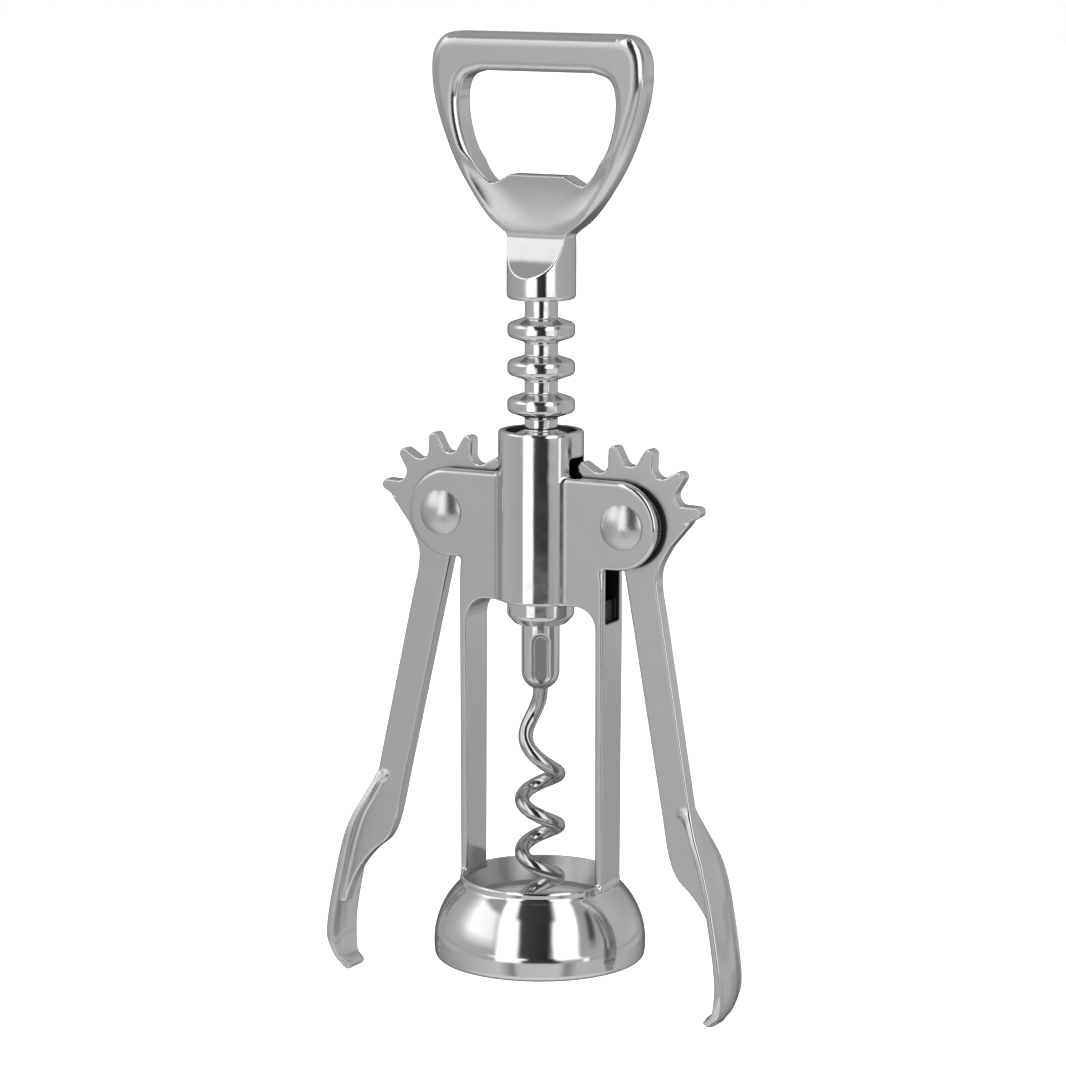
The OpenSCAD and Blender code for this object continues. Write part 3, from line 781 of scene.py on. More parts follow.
        # Painted shade: darkens the slot between the cheeks, the recesses in the legs, the bore and the
        # windows.
        hidden = np.minimum(self.slot(x, y, z), self.passage(x, y, z))
        painted_shade = 1.0 - smooth_step(hidden, 0.04, 0.35)
        return np.maximum(np.maximum(sides, sleeve), bell) * (1.0 - throat), painted_shade

    def surface(self) -> Surface:
        """Meshes the casting."""
        reach = self.datum.pivot_x + self.cheek_r + 1.0
        depth = self.datum.bell_r + 1.0
        high = self.datum.sleeve_top + 1.0
        mesher = FieldMesher((-reach, -depth, -1.0), (reach, depth, high), Rank.MEDIUM.value)
        return mesher.build(self.shape, self.finish)


@dataclass
class OpenerHandle:
    """The cast handle: round hub with hollow flats, dished neck, cap lip and loop."""

    datum: Datum
    hub_r: float = 6.45
    plain_h: float = 4.3
    flat_r: float = 15.0
    neck_h: float = 12.2
    neck_t: float = 4.5
    depth: float = 6.6
    side_w: float = 6.3
    top_w: float = 7.1
    lip_z: float = 22.9
    lip_half: float = 5.7
    lip_step: float = 1.5
    lip_t: float = 4.4
    dish_drop: float = 3.6
    dish_r: float = 16.6
    dish_low_r: float = 29.0
    dish_w: float = 6.2
    rim_w: float = 0.9
    bore_r: float = 3.15
    bore_h: float = 6.15
    far: float = 30.0

    def outer(self, x: Values, z: Values) -> Values:
        """Field of the handle's outline, seen from the front, open below the neck."""
        w, top, lip = self.datum.loop_half, self.datum.handle_top - self.datum.hub_z, self.lip_z
        neck = self.hub_r - 0.5
        side = smooth_line([
            (neck, self.neck_h - 0.6), (neck + 0.8, self.neck_h + 0.3), (w * 0.45, lip - 7.8),
            (w * 0.63, lip - 3.3), (w * 0.79, lip + 2.5), (w * 0.91, lip + 8.9), (w * 0.98, top - 11.6),
            (w, top - 6.8), (w * 0.975, top - 3.2), (w * 0.88, top - 0.6), (w * 0.74, top)])
        return outline_distance(
            x, z, [(-self.far, -self.far), (neck, -self.far), *side, (-self.far, top)])

    def hole(self, x: Values, z: Values) -> Values:
        """Field of the hole, from its top down to the cap lip."""
        w = self.datum.loop_half - self.side_w
        top, low = self.datum.handle_top - self.datum.hub_z - self.top_w, self.lip_z - self.lip_step
        side = smooth_line([
            (w * 0.72, top), (w * 0.92, top - 1.1), (w, top - 3.8), (w * 0.995, top - 8.4),
            (w * 0.91, top - 13.5), (w * 0.76, top - 17.9), (w * 0.62, low + 0.1), (w * 0.54, low)])
        outline = [(-self.far, top), *side, (self.lip_half, self.lip_z), (-self.far, self.lip_z)]
        return outline_distance(x, z, outline)

    def hub(self, radius: Values, y: Values, z: Values) -> Values:
        """Field of the round hub with a hollow flat in front and behind."""
        run, rise = self.neck_t / 2.0 - self.hub_r, self.neck_h - self.plain_h
        span = math.hypot(run, rise)
        reach = math.sqrt(self.flat_r ** 2 - span * span / 4.0) / span
        across = (self.hub_r + self.neck_t / 2.0) / 2.0 + reach * rise
        up = (self.plain_h + self.neck_h) / 2.0 - reach * run
        body = round_meet(round_meet(radius - self.hub_r, z - self.neck_h, 0.5), -z, 0.9)
        return round_cut(body, np.hypot(y - across, z - up) - self.flat_r, 0.15)

    def dish(self, edge: Values, y: Values, z: Values) -> Values:
        """Field of what the dish between the neck and the lip takes away.

        Args:
            edge: Distance from the handle's outline, negative inside.
            y: Distance from the middle plane.
            z: Height above the hub's lower end.

        Returns:
            The field, negative above the dish's surface.
        """
        deepest = self.lip_t / 2.0 - self.dish_r + math.sqrt(self.dish_r ** 2 - self.dish_drop ** 2)
        below = self.lip_z - self.dish_drop - z
        reach = np.where(below > 0.0, self.dish_low_r, self.dish_r)
        floor = deepest + reach - np.sqrt(np.maximum(reach ** 2 - below ** 2, 1.0))
        level = np.interp(z, (self.neck_h + 0.4, self.neck_h + 8.0),
                          (self.neck_t / 2.0 + 0.45, self.depth / 2.0))
        inner = np.clip((-edge - self.rim_w) / self.dish_w, 0.0, 1.0)
        return 0.9 * (floor + (level - floor) * (1.0 - inner) ** 3 - y)

    def loop(self, x: Values, y: Values, z: Values) -> Values:
        """Field of the loop with its hole, cap lip and dish."""
        top, half, low = self.datum.handle_top - self.datum.hub_z, self.depth / 2.0, self.neck_h - 0.6
        face = outline_distance(y, z, [
            (-self.far, low), (self.neck_t / 2.0, low), (self.neck_t / 2.0 + 0.45, self.neck_h + 0.4),
            (half, self.neck_h + 8.0), (half, top + 3.0), (-self.far, top + 3.0)])
        edge = self.outer(x, z)
        body = round_meet(edge, face, 0.3 + 2.3 * smooth_step(z, 13.0, 21.0))
        round_off = 0.35 + 1.5 * smooth_step(z, self.lip_z + 0.3, self.lip_z + 5.0)
        return round_cut(round_cut(body, self.hole(x, z), round_off), self.dish(edge, y, z), 0.4)

    def shape(self, points: Points) -> Values:
        """Field of the whole handle."""
        x, y, z = np.abs(points[:, 0]), np.abs(points[:, 1]), points[:, 2] - self.datum.hub_z
        radius = np.hypot(x, y)
        body = round_join(self.hub(radius, y, z), self.loop(x, y, z), 0.3)
        return round_cut(body, np.maximum(radius - self.bore_r, z - self.bore_h), 0.3)

    def finish(self, points: Points, normals: Points) -> tuple[Values, Values]:
        """Satin where the handle faces forward, bright round its edges and its hub."""
        z = points[:, 2] - self.datum.hub_z
        faces = 1.0 - smooth_step(np.abs(normals[:, 1]), 0.84, 0.98)
        hub = 1.0 - smooth_step(z, self.neck_h - 0.3, self.neck_h + 0.3)
        return np.maximum(0.95 * faces, hub), np.zeros(len(points))

    def surface(self) -> Surface:
        """Meshes the handle."""
        reach, deep, low = self.datum.loop_half + 1.0, self.hub_r + 1.0, self.datum.hub_z - 1.0
        high = self.datum.handle_top + 1.0
        mesher = FieldMesher((-reach, -deep, low), (reach, deep, high), Rank.MEDIUM.value)
        return mesher.build(self.shape, self.finish)


@dataclass
class WormSocket:
    """The round-ended socket that holds the worm's wire, with a pressed oval pocket on each side."""

    datum: Datum
    turn_deg: float = 28.0
    radius: float = 3.6
    length: float = 12.9
    stub_r: float = 2.0
    wire_r: float = 1.4
    wire_in: float = 3.0
    pocket: Pair = (3.5, 9.5)
    pocket_d: float = 0.95
    pocket_share: float = 0.48
    pocket_edge: float = 0.75
    stub_low: float = 1.0

    def shape(self, points: Points) -> Values:
        """Field of the socket, its stub and its pockets."""
        c, s = math.cos(math.radians(self.turn_deg)), math.sin(math.radians(self.turn_deg))
        x = points[:, 0] * c + points[:, 1] * s
        y = np.abs(points[:, 1] * c - points[:, 0] * s)
        z = points[:, 2] - self.datum.socket_low
        spread = np.hypot(x, y)
        body = np.hypot(spread, np.minimum(z - self.radius, 0.0)) - self.radius
        body = round_meet(body, z - self.length, 0.35)
        stub_top = self.datum.socket_top - self.datum.socket_low
        body = np.minimum(body, np.maximum(spread - self.stub_r, slab(z, self.stub_low, stub_top)))
        half = (self.pocket[1] - self.pocket[0]) / 2.0
        middle = self.length * self.pocket_share
        oval = segment_distance(x, z, (0.0, middle - half), (0.0, middle + half)) - self.pocket[0] / 2.0
        pocket = round_meet(oval, self.radius - self.pocket_d - y, self.pocket_edge)
        body = round_cut(body, pocket, 0.3)
        return round_cut(body, np.maximum(spread - self.wire_r, z - self.wire_in), 0.25)

    def finish(self, points: Points, normals: Points) -> tuple[Values, Values]:
        """Bright all over, a little duller down in the pockets, with painted shade there."""
        spread = np.hypot(points[:, 0], points[:, 1])
        shell = smooth_step(spread, self.radius - 0.7, self.radius - 0.1)
        # The second value is painted shade that darkens the pockets.
        return 0.55 + 0.45 * shell, 0.4 * (1.0 - shell)

    def surface(self) -> Surface:
        """Meshes the socket."""
        r, d = self.radius + 1.0, self.datum
        mesher = FieldMesher((-r, -r, d.socket_low - 1.0), (r, r, d.socket_top + 1.0), Rank.SMALL.value)
        return mesher.build(self.shape, self.finish)


@dataclass
class Worm:
    """The worm: round wire that leaves its socket on the axis and swings out into full turns."""

    datum: Datum
    hand: int = -1
    wire_r: float = 1.4
    helix_r: float = 3.4
    pitch: float = 10.0
    point_len: float = 8.0
    point_gap: float = 0.3
    point_round: float = 0.6
    point_blunt: float = 0.004
    end_r: float = 0.02
    lead_in: float = 16.2
    swing_h: float = 11.0
    slack: float = 0.097
    start_deg: float = 28.0
    wire_in: float = 3.0
    sides: int = 28
    rows: int = 420

    def centre(self, z: Values) -> Points:
        """Places the wire's middle at each height."""
        drop = self.datum.socket_low - z
        above = self.lead_in - drop
        turned = np.where(above > 0.0, above / (1.0 + self.slack * np.maximum(above, 0.0)), above)
        angle = np.radians(self.start_deg + self.hand * 360.0 * turned / self.pitch)
        swing = self.helix_r * smooth_step(drop, 0.0, self.swing_h)
        return np.stack([swing * np.cos(angle), swing * np.sin(angle), z], 1)

    def surface(self) -> Surface:
        """Sweeps the wire from its hidden end down to the point."""
        top = self.datum.socket_low + self.wire_in
        tip = self.datum.worm_low + self.point_gap
        z = np.linspace(top, tip, self.rows)
        path = self.centre(z)
        run = np.gradient(path, axis=0)
        run /= np.linalg.norm(run, axis=1)[:, None]
        side = np.cross(run, np.array([0.0, 1.0, 0.0]))
        side /= np.linalg.norm(side, axis=1)[:, None]
        other = np.cross(run, side)
        slim = np.clip((z - tip) / self.point_len, 0.0, 1.0)
        share = slim * (1.0 + self.point_round - self.point_round * slim) + self.point_blunt
        radius = self.wire_r * np.sqrt(np.clip(share, 0.0, 1.0))
        radius[0] = self.end_r
        around = np.arange(self.sides) * 2.0 * math.pi / self.sides
        c, s = np.cos(around)[None, :, None], np.sin(around)[None, :, None]
        out = side[:, None, :] * c + other[:, None, :] * s
        points = (path[:, None, :] + radius[:, None, None] * out).reshape(-1, 3)
        lean = np.gradient(radius) / np.linalg.norm(np.gradient(path, axis=0), axis=1)
        normals = (out - lean[:, None, None] * run[:, None, :]).reshape(-1, 3)
        normals /= np.linalg.norm(normals, axis=1)[:, None]
        return Surface(points, ring_quads(self.rows, self.sides), normals,
                       np.ones(len(points)), np.zeros(len(points)))


# ---- Finishes ----

def add_node(tree: bpy.types.NodeTree, kind: str, **settings: object) -> bpy.types.Node:
    """Adds a node and sets its properties and its inputs.

    Args:
        tree: Node tree that gets the node.
        kind: Node type.
        **settings: Property names, or input names with spaces as underscores.

    Returns:
        The new node.
    """
    node = tree.nodes.new(kind)
    for name, value in settings.items():
        if hasattr(node, name):
            setattr(node, name, value)
        else:
            node.inputs[name.replace("_", " ")].default_value = value
    return node


def make_group(name: str, inputs: dict[str, float], outputs: Sequence[str]) -> bpy.types.NodeTree:
    """Starts a shader node group with named number sockets.

    Args:
        name: Name of the group.
        inputs: Names and default values of the inputs.
        outputs: Names of the outputs.

    Returns:
        The group's node tree, with its input and output nodes.
    """
    tree = bpy.data.node_groups.new(name, "ShaderNodeTree")
    for socket, value in inputs.items():
        made = tree.interface.new_socket(name=socket, in_out="INPUT", socket_type="NodeSocketFloat")
        made.default_value = value
    for socket in outputs:
        tree.interface.new_socket(name=socket, in_out="OUTPUT", socket_type="NodeSocketFloat")
    tree.nodes.new("NodeGroupInput")
    tree.nodes.new("NodeGroupOutput")
    return tree


def scaled_noise(tree: bpy.types.NodeTree, scale: bpy.types.NodeSocket, stretch: Sequence[float],
                 detail: float) -> bpy.types.NodeSocket:
    """Adds noise over the object's own coordinates.

    Args:
        tree: Node tree that gets the noise.
        scale: Socket that gives its scale.
        stretch: Scale along X, Y and Z.
        detail: Octaves of the noise.

    Returns:
        The noise's value.
    """
    place = add_node(tree, "ShaderNodeTexCoord")
    spread = add_node(tree, "ShaderNodeMapping")
    spread.inputs["Scale"].default_value = stretch
    noise = add_node(tree, "ShaderNodeTexNoise", Detail=detail)
    tree.links.new(place.outputs["Object"], spread.inputs["Vector"])
    tree.links.new(spread.outputs["Vector"], noise.inputs["Vector"])
    tree.links.new(scale, noise.inputs["Scale"])
    return noise.outputs["Fac"]


def combine(tree: bpy.types.NodeTree, operation: str, *values: object) -> bpy.types.NodeSocket:
    """Adds a Math node.

    Args:
        tree: Node tree that gets the node.
        operation: Name of the operation.
        *values: Sockets or numbers for its inputs.

    Returns:
        The result's socket.
    """
    node = add_node(tree, "ShaderNodeMath", operation=operation)
    for socket, value in zip(node.inputs, values):
        if isinstance(value, (int, float)):
            socket.default_value = value
        else:
            tree.links.new(value, socket)
    return node.outputs[0]


def cast_waves_group() -> bpy.types.NodeTree:
    """Builds the slow unevenness of plated metal, which makes reflections waver."""
    tree = make_group("cast_waves", {"Scale": 160.0, "Amount": 1.0}, ["Height"])
    ends = tree.nodes["Group Input"].outputs
    slow = scaled_noise(tree, ends["Scale"], (1.0, 1.0, 1.0), 1.0)
    height = combine(tree, "MULTIPLY", slow, ends["Amount"])
    tree.links.new(height, tree.nodes["Group Output"].inputs["Height"])
    return tree


def satin_grain_group() -> bpy.types.NodeTree:
    """Builds the fine grain left by blasting and linishing, strongest where the metal isn't polished."""
    tree = make_group("satin_grain", {"Scale": 3200.0, "Amount": 1.0, "Polish": 0.0}, ["Height", "Mask"])
    ends = tree.nodes["Group Input"].outputs
    grain = scaled_noise(tree, ends["Scale"], (1.0, 1.0, 0.35), 3.0)
    satin = combine(tree, "SUBTRACT", 1.0, ends["Polish"])
    strength = combine(tree, "MULTIPLY", satin, ends["Amount"])
    out = tree.nodes["Group Output"].inputs
    tree.links.new(combine(tree, "MULTIPLY", grain, strength), out["Height"])
    tree.links.new(combine(tree, "MULTIPLY", grain, satin), out["Mask"])
    return tree


def handling_group() -> bpy.types.NodeTree:
    """Builds the faint smears of a handled surface as a mask from 0 to 1."""
    tree = make_group("handling", {"Scale": 55.0, "Amount": 1.0}, ["Mask"])
    ends = tree.nodes["Group Input"].outputs
    smear = scaled_noise(tree, ends["Scale"], (1.0, 1.0, 0.6), 4.0)
    sharpen = add_node(tree, "ShaderNodeMapRange", From_Min=0.45, From_Max=0.75)
    tree.links.new(smear, sharpen.inputs["Value"])
    mask = combine(tree, "MULTIPLY", sharpen.outputs["Result"], ends["Amount"])
    tree.links.new(mask, tree.nodes["Group Output"].inputs["Mask"])
    return tree


@dataclass(frozen=True)
class Plating:
    """A chrome finish that runs from satin on the flats to bright on the rounds."""

    name: str
    slot: str
    satin: tuple[float, float, float]
    bright: tuple[float, float, float]
    satin_rough: float
    bright_rough: float
    grain: float
    wave_scale: float
    wave: float
    # Colour and extra roughness that the painted shade attribute mixes in: painted shade in gaps, bores and
    # pockets.
    shade_tone: tuple[float, float, float] = (0.05, 0.05, 0.05)
    speckle_rough: float = 0.08
    smear_rough: float = 0.03
    shade_rough: float = 0.25

    def material(self, groups: dict[str, bpy.types.NodeTree]) -> bpy.types.Material:
        """Builds the material.

        Args:
            groups: The shared effect groups by name.

        Returns:
            The finished material.
        """
        made = bpy.data.materials.new(self.name)
        made.use_nodes = True
        tree = made.node_tree
        shader = tree.nodes["Principled BSDF"]
        shader.inputs["Metallic"].default_value = 1.0
        polish = add_node(tree, "ShaderNodeAttribute", attribute_name=POLISH).outputs["Fac"]
        painted_shade = add_node(tree, "ShaderNodeAttribute", attribute_name=PAINTED_SHADE).outputs["Fac"]
        waves, grain, smear = (add_node(tree, "ShaderNodeGroup", node_tree=groups[key])
                               for key in ("cast_waves", "satin_grain", "handling"))
        waves.inputs["Scale"].default_value = self.wave_scale
        waves.inputs["Amount"].default_value = self.wave
        grain.inputs["Amount"].default_value = self.grain
        tree.links.new(polish, grain.inputs["Polish"])
        tint = add_node(tree, "ShaderNodeMix", data_type="RGBA")
        tint.inputs["A"].default_value = (*self.satin, 1.0)
        tint.inputs["B"].default_value = (*self.bright, 1.0)
        tree.links.new(polish, tint.inputs["Factor"])
        # Painted shade: mixes the dark shade colour into the base colour where the attribute says.
        shaded = add_node(tree, "ShaderNodeMix", data_type="RGBA")
        shaded.inputs["B"].default_value = (*self.shade_tone, 1.0)
        tree.links.new(painted_shade, shaded.inputs["Factor"])
        tree.links.new(tint.outputs["Result"], shaded.inputs["A"])
        tree.links.new(shaded.outputs["Result"], shader.inputs["Base Color"])
        rough = add_node(tree, "ShaderNodeMix", A=self.satin_rough, B=self.bright_rough)
        tree.links.new(polish, rough.inputs["Factor"])
        dull = rough.outputs["Result"]
        for mask, amount in ((grain.outputs["Mask"], self.speckle_rough),
                             (smear.outputs["Mask"], self.smear_rough), (painted_shade, self.shade_rough)):
            dull = combine(tree, "MULTIPLY_ADD", mask, amount, dull)
        tree.links.new(dull, shader.inputs["Roughness"])
        height = combine(tree, "ADD", waves.outputs["Height"], grain.outputs["Height"])
        bump = add_node(tree, "ShaderNodeBump", Distance=1.0)
        tree.links.new(height, bump.inputs["Height"])
        tree.links.new(bump.outputs["Normal"], shader.inputs["Normal"])
        return made


CASTING = Plating("plated_casting", "plated_casting", (0.55, 0.55, 0.565), (0.76, 0.76, 0.77), 0.28, 0.08,
                  1.6e-6, 210.0, 3.0e-5)
TURNED = Plating("plated_steel", "plated_steel", (0.62, 0.62, 0.635), (0.76, 0.76, 0.77), 0.30, 0.09,
                 1.0e-6, 330.0, 2.4e-5)
WIRE = Plating("worm_steel", "worm_steel", (0.46, 0.46, 0.465), (0.53, 0.53, 0.535), 0.25, 0.10,
               1.0e-6, 330.0, 8.0e-6)


# ---- Camera, light and floor ----

@dataclass(frozen=True)
class Band:
    """What polished metal sees from one height upwards: tones by the angle to the right of the camera."""

    start: float
    full: float
    tones: tuple[Pair, ...]


FLOOR_TONES = ((-180.0, 0.14), (-115.0, 0.26), (-85.0, 0.50), (85.0, 0.50), (115.0, 0.26), (180.0, 0.14))
LOW_TONES = (
    (-180.0, 0.08), (-158.0, 0.09), (-140.0, 0.20), (-60.0, 0.40), (-46.0, 0.44), (-30.0, 0.16),
    (-24.0, 0.40), (20.0, 0.44), (30.0, 0.18), (42.0, 0.38), (110.0, 0.34), (140.0, 0.22), (158.0, 0.09),
    (180.0, 0.08))
PANEL_TONES = (
    (-180.0, 0.08), (-158.0, 0.10), (-146.0, 0.24), (-110.0, 0.34), (-64.0, 0.32), (-50.0, 0.30),
    (-47.0, 1.0), (-26.0, 1.0), (-22.0, 0.04), (9.0, 0.015), (13.0, 0.30), (15.0, 1.0), (41.0, 1.0),
    (44.0, 0.28), (95.0, 0.34), (130.0, 0.36), (146.0, 0.24), (158.0, 0.10), (180.0, 0.08))
STRIPE_TONES = (
    (-180.0, 0.08), (-158.0, 0.10), (-146.0, 0.24), (-110.0, 0.35), (-64.0, 0.30), (-50.0, 0.28),
    (-48.0, 1.0), (-24.0, 1.0), (-18.0, 0.03), (18.0, 0.01), (22.0, 0.20), (25.0, 0.30), (47.0, 0.32),
    (48.5, 0.9), (53.5, 0.9), (55.0, 0.28), (95.0, 0.34), (130.0, 0.36), (146.0, 0.24), (158.0, 0.10),
    (180.0, 0.08))
WIDE_TONES = (
    (-180.0, 0.08), (-158.0, 0.10), (-146.0, 0.24), (-60.0, 0.34), (-46.0, 1.0), (-18.0, 1.0),
    (-12.0, 0.04), (14.0, 0.01), (18.0, 0.8), (22.0, 1.0), (44.0, 0.9), (48.0, 0.34), (146.0, 0.26),
    (158.0, 0.10), (180.0, 0.08))
SOFTBOX_TONES = (
    (-180.0, 0.22), (-150.0, 0.26), (-112.0, 0.34), (-98.0, 0.55), (-86.0, 0.90), (-70.0, 0.85),
    (-55.0, 0.76), (-49.0, 0.50), (-45.0, 1.0), (-25.0, 1.0), (-21.0, 0.04), (10.0, 0.015), (13.0, 0.30),
    (15.0, 1.0), (41.0, 1.0), (44.0, 0.28), (54.0, 0.26), (57.0, 0.05), (62.0, 0.05), (65.0, 0.28),
    (95.0, 0.36), (140.0, 0.28), (180.0, 0.22))
UPPER_TONES = (
    (-180.0, 0.20), (-112.0, 0.28), (-60.0, 0.25), (-48.0, 0.25), (-45.0, 1.0), (-29.0, 1.0),
    (-24.0, 0.04), (12.0, 0.02), (16.0, 0.34), (19.0, 1.0), (40.0, 1.0), (44.0, 0.25), (112.0, 0.30),
    (180.0, 0.20))
CEILING_TONES = ((-180.0, 0.22), (180.0, 0.22))


@dataclass
class Studio:
    """A white studio: the room that the metal reflects, soft lamps, and the photograph's camera."""

    azimuth: float = 27.7
    elevation: float = 9.5
    distance: float = 0.75
    focal_px: float = 4025.9
    image_px: float = 1066.0
    aim_px: Pair = (540.82, 538.72)
    aim_z: float = 0.080
    roll_deg: float = 0.12
    sensor: float = 36.0
    fill_tone: float = 0.7
    panel_gain: float = 1.5
    room: tuple[Band, ...] = (
        Band(-2.0, -1.5, FLOOR_TONES), Band(-0.62, -0.5, LOW_TONES), Band(-0.2, -0.185, STRIPE_TONES),
        Band(-0.128, -0.115, WIDE_TONES), Band(-0.084, -0.07, PANEL_TONES), Band(0.02, 0.30, SOFTBOX_TONES),
        Band(0.70, 0.76, UPPER_TONES), Band(0.96, 0.98, CEILING_TONES))
    zenith_pull: float = 0.43
    floor_drop: float = 0.009
    floor_half: float = 4.0
    floor_tones: Pair = (0.5, 0.9)
    floor_glow: float = 0.8

    def axes(self) -> tuple[Vector, Vector, Vector]:
        """Returns the camera's right, up and backward directions."""
        a, e = math.radians(self.azimuth), math.radians(self.elevation)
        back = Vector((math.sin(a) * math.cos(e), -math.cos(a) * math.cos(e), math.sin(e)))
        right = Vector((math.cos(a), math.sin(a), 0.0))
        return right, back.cross(right), back

    def add_camera(self) -> None:
        """Sets up the camera, with its aim moved a little to frame the object as the photograph does."""
        right, up, back = self.axes()
        metres = self.distance / self.focal_px
        middle = self.image_px / 2.0
        aim = Vector((0.0, 0.0, self.aim_z))
        aim += right * (middle - self.aim_px[0]) * metres + up * (self.aim_px[1] - middle) * metres
        data = bpy.data.cameras.new("camera")
        data.lens = self.focal_px / self.image_px * self.sensor
        data.sensor_width = self.sensor
        data.clip_start = 0.01
        camera = bpy.data.objects.new("camera", data)
        bpy.context.scene.collection.objects.link(camera)
        camera.location = aim + back * self.distance
        camera.rotation_euler = Matrix((right, up, back)).transposed().to_euler()
        camera.rotation_euler.rotate_axis("Z", math.radians(self.roll_deg))
        bpy.context.scene.camera = camera

    def softbox(self, name: str, turn: float, height: float, size: Pair, power: float,
                reach: float = 1.1) -> None:
        """Adds a soft panel that faces the object.

        Args:
            name: Name of the lamp.
            turn: Angle in degrees from the camera, to the right.
            height: Height angle in degrees.
            size: Width and height in metres.
            power: Power in watts.
            reach: Distance from the object in metres.
        """
        a, e = math.radians(self.azimuth + turn), math.radians(height)
        away = Vector((math.sin(a) * math.cos(e), -math.cos(a) * math.cos(e), math.sin(e)))
        lamp = bpy.data.lights.new(name, "AREA")
        lamp.shape = "RECTANGLE"
        lamp.size, lamp.size_y = size
        lamp.energy = power
        holder = bpy.data.objects.new(name, lamp)
        bpy.context.scene.collection.objects.link(holder)
        holder.location = Vector((0.0, 0.0, self.aim_z)) + away * reach
        holder.rotation_euler = away.to_track_quat("Z", "Y").to_euler()
        holder.visible_glossy = False

    def add_lights(self) -> None:
        """Adds the lamps that light the floor: one on each side of the camera and one behind."""
        self.softbox("left_panel", -40.0, 50.0, (0.6, 0.6), 2.6)
        self.softbox("right_panel", 60.0, 55.0, (0.6, 0.6), 2.2)
        self.softbox("rear_panel", 165.0, 60.0, (0.8, 0.8), 2.6)

    def angle_share(self, tree: bpy.types.NodeTree, place: bpy.types.NodeSocket,
                    height: bpy.types.NodeSocket) -> bpy.types.NodeSocket:
        """Builds the horizontal angle from the camera as a share of the full circle.

        The panels lean together over the object, so high directions count as nearer to the camera's side.

        Args:
            tree: The world's node tree.
            place: Socket that gives the direction.
            height: Socket that gives the direction's height.

        Returns:
            0 behind the object on the left, 0.5 at the camera and 1 behind the object on the right.
        """
        a = math.radians(self.azimuth)
        sides = []
        for direction in ((math.cos(a), math.sin(a), 0.0), (math.sin(a), -math.cos(a), 0.0)):
            dot = add_node(tree, "ShaderNodeVectorMath", operation="DOT_PRODUCT")
            dot.inputs[1].default_value = direction
            tree.links.new(place, dot.inputs[0])
            sides.append(dot.outputs["Value"])
        up = combine(tree, "MAXIMUM", height, 0.0)
        pull = combine(tree, "MULTIPLY", combine(tree, "MULTIPLY", up, up), self.zenith_pull)
        angle = combine(tree, "ARCTAN2", sides[0], combine(tree, "ADD", sides[1], pull))
        return combine(tree, "MULTIPLY_ADD", angle, 0.5 / math.pi, 0.5)

    def room_tone(self, tree: bpy.types.NodeTree) -> bpy.types.NodeSocket:
        """Builds what polished metal sees: a grey room with tall white panels beside a dark gap.

        Args:
            tree: The world's node tree.

        Returns:
            Brightness for each direction.
        """
        place = add_node(tree, "ShaderNodeTexCoord").outputs["Generated"]
        parts = add_node(tree, "ShaderNodeSeparateXYZ")
        tree.links.new(place, parts.inputs["Vector"])
        height = parts.outputs["Z"]
        share = self.angle_share(tree, place, height)
        tone = None
        for band in self.room:
            ramp = add_node(tree, "ShaderNodeValToRGB")
            stops = ramp.color_ramp.elements
            for angle, value in band.tones[1:-1]:
                stops.new((angle + 180.0) / 360.0).color = (value, value, value, 1.0)
            for stop, (_, value) in ((stops[0], band.tones[0]), (stops[-1], band.tones[-1])):
                stop.color = (value, value, value, 1.0)
            tree.links.new(share, ramp.inputs["Fac"])
            above = add_node(tree, "ShaderNodeMapRange", From_Min=band.start, From_Max=band.full)
            tree.links.new(height, above.inputs["Value"])
            blend = add_node(tree, "ShaderNodeMix")
            tree.links.new(above.outputs["Result"], blend.inputs["Factor"])
            tree.links.new(ramp.outputs["Color"], blend.inputs["B"])
            if tone:
                tree.links.new(tone, blend.inputs["A"])
            tone = blend.outputs["Result"]
        return combine(tree, "MULTIPLY", tone, self.panel_gain)

    def add_world(self) -> None:
        """Makes the surroundings: white to the eye, even light on the floor and the room in reflections."""
        world = bpy.data.worlds.new("studio")
        world.use_nodes = True
        bpy.context.scene.world = world
        tree = world.node_tree
        tree.nodes.clear()
        path = add_node(tree, "ShaderNodeLightPath")
        shine = add_node(tree, "ShaderNodeMix", A=self.fill_tone)
        tree.links.new(path.outputs["Is Glossy Ray"], shine.inputs["Factor"])
        tree.links.new(self.room_tone(tree), shine.inputs["B"])
        seen = add_node(tree, "ShaderNodeMix", B=1.0)
        tree.links.new(path.outputs["Is Camera Ray"], seen.inputs["Factor"])
        tree.links.new(shine.outputs["Result"], seen.inputs["A"])
        light = add_node(tree, "ShaderNodeBackground", Color=(1.0, 1.0, 1.0, 1.0))
        tree.links.new(seen.outputs["Result"], light.inputs["Strength"])
        output = add_node(tree, "ShaderNodeOutputWorld")
        tree.links.new(light.outputs["Background"], output.inputs["Surface"])

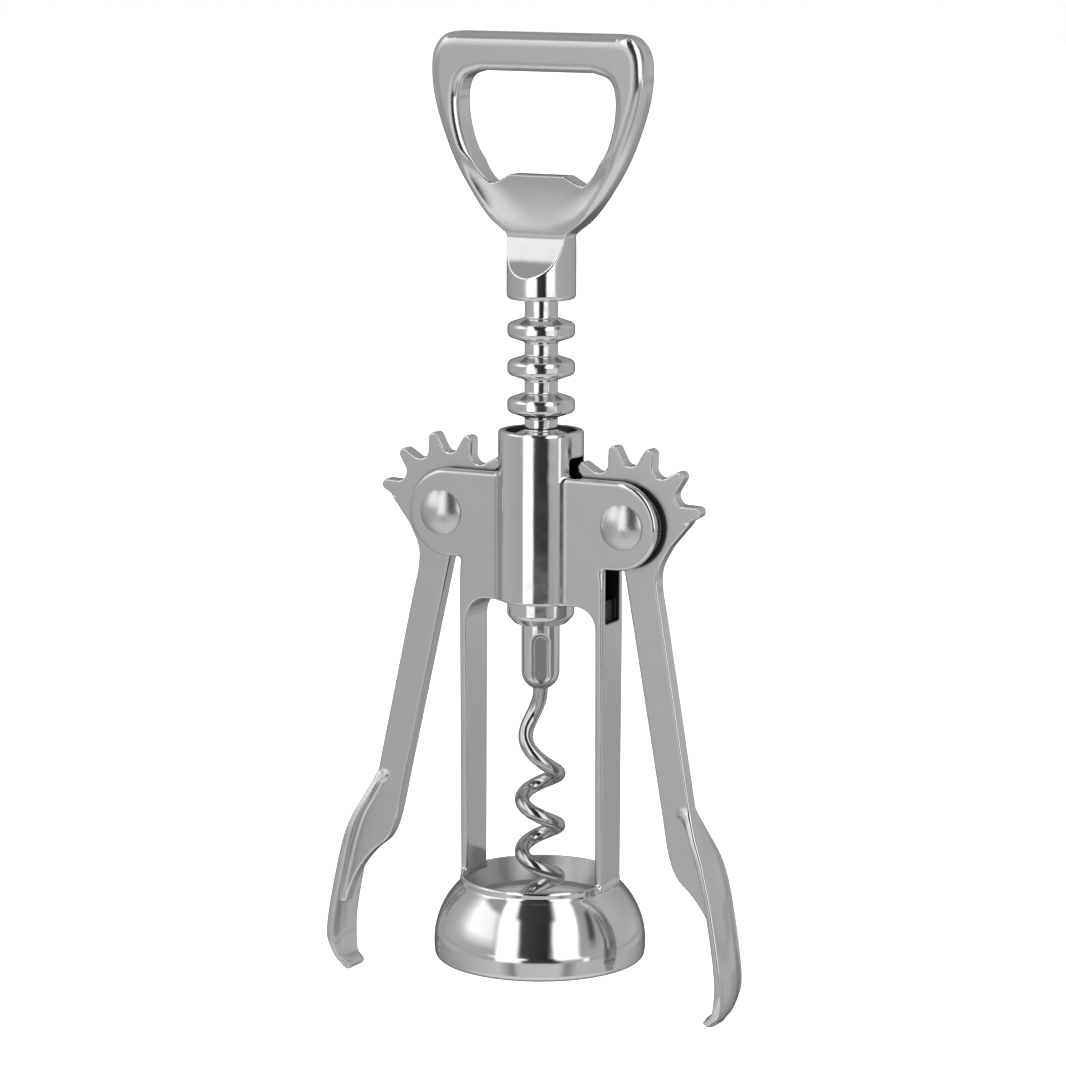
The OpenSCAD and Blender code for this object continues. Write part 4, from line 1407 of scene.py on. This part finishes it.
    def add_floor(self, low: float) -> None:
        """Lays the floor, clear of the worm's point and the levers' tips where they reach lowest.

        Args:
            low: Height of the object's lowest point at rest, in metres.
        """
        height, half = low - self.floor_drop, self.floor_half
        mesh = bpy.data.meshes.new("floor")
        corners = [(-half, -half, height), (half, -half, height), (half, half, height),
                   (-half, half, height)]
        mesh.from_pydata(corners, [], [(0, 1, 2, 3)])
        floor = bpy.data.objects.new("floor", mesh)
        bpy.context.scene.collection.objects.link(floor)
        paint = bpy.data.materials.new("floor_paint")
        paint.use_nodes = True
        tree = paint.node_tree
        tree.nodes.remove(tree.nodes["Principled BSDF"])
        path = add_node(tree, "ShaderNodeLightPath")
        matt = add_node(tree, "ShaderNodeBsdfDiffuse")
        tone = add_node(tree, "ShaderNodeMix", A=self.floor_tones[0], B=self.floor_tones[1])
        tree.links.new(path.outputs["Is Camera Ray"], tone.inputs["Factor"])
        tree.links.new(tone.outputs["Result"], matt.inputs["Color"])
        glow = add_node(tree, "ShaderNodeEmission")
        lift = combine(tree, "MULTIPLY", path.outputs["Is Camera Ray"], self.floor_glow)
        tree.links.new(lift, glow.inputs["Strength"])
        both = add_node(tree, "ShaderNodeAddShader")
        tree.links.new(matt.outputs["BSDF"], both.inputs[0])
        tree.links.new(glow.outputs["Emission"], both.inputs[1])
        tree.links.new(both.outputs["Shader"], tree.nodes["Material Output"].inputs["Surface"])
        mesh.materials.append(paint)
        floor.visible_glossy = False
        floor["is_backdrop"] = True


# ---- Assembly ----

@dataclass
class Assembly:
    """Builds the pieces, dresses them and sets each on its body."""

    datum: Datum
    right_rest: float = 10.1
    left_rest: float = -12.9
    groups: dict[str, bpy.types.NodeTree] = field(default_factory=dict)
    finishes: dict[str, bpy.types.Material] = field(default_factory=dict)

    def prepare(self) -> None:
        """Builds the effect groups and the materials."""
        self.groups = {"cast_waves": cast_waves_group(), "satin_grain": satin_grain_group(),
                       "handling": handling_group()}
        for finish in (CASTING, TURNED, WIRE):
            self.finishes[finish.slot] = finish.material(self.groups)

    def place(self, surface: Surface, node: str, body: str, finish: Plating) -> None:
        """Turns a surface into the piece that stands for a CAD node.

        Args:
            surface: Finished surface.
            node: Name of the CAD node that it replaces.
            body: Name of the body that it rides on.
            finish: Finish of the piece.
        """
        piece = surface.build(f"{node}_cast" if finish is CASTING else f"{node}_turned")
        piece.data.materials.append(self.finishes[finish.slot])
        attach(piece, body)
        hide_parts(node)
        log.info("%s: %d quads on %s", piece.name, len(surface.quads), body)

    def build(self) -> None:
        """Builds every piece in order."""
        datum = self.datum
        self.place(BellFrame(datum).surface(), "bell_frame", "frame", CASTING)
        lever = Lever(datum).surface()
        for side, turn, node, body in ((1, self.right_rest, "right_lever", "right_wing"),
                                       (-1, self.left_rest, "left_lever", "left_wing")):
            pivot = np.array([side * datum.pivot_x, 0.0, datum.pivot_z])
            drawn = lever if side > 0 else lever.mirrored()
            self.place(drawn.turned(-turn, pivot), node, body, CASTING)
        self.place(Rivet(datum, -1).surface(), "left_rivet", "frame", TURNED)
        self.place(Rivet(datum, 1).surface(), "right_rivet", "frame", TURNED)
        self.place(RingRack(datum).surface(), "ring_rack", "rack", TURNED)
        self.place(OpenerHandle(datum).surface(), "opener_handle", "spindle", CASTING)
        self.place(WormSocket(datum).surface(), "worm_socket", "spindle", TURNED)
        self.place(Worm(datum).surface(), "worm", "spindle", WIRE)


def main() -> None:
    """Builds the corkscrew in its studio, with the floor under its lowest point."""
    logging.basicConfig(level=logging.INFO, format="%(name)s: %(message)s")
    bpy.context.scene.view_settings.view_transform = "Standard"
    assembly = Assembly(Datum.from_frame())
    assembly.prepare()
    assembly.build()
    low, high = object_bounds()
    studio = Studio()
    studio.add_camera()
    studio.add_lights()
    studio.add_world()
    studio.add_floor(low[2])


if __name__ == "__main__":
    main()
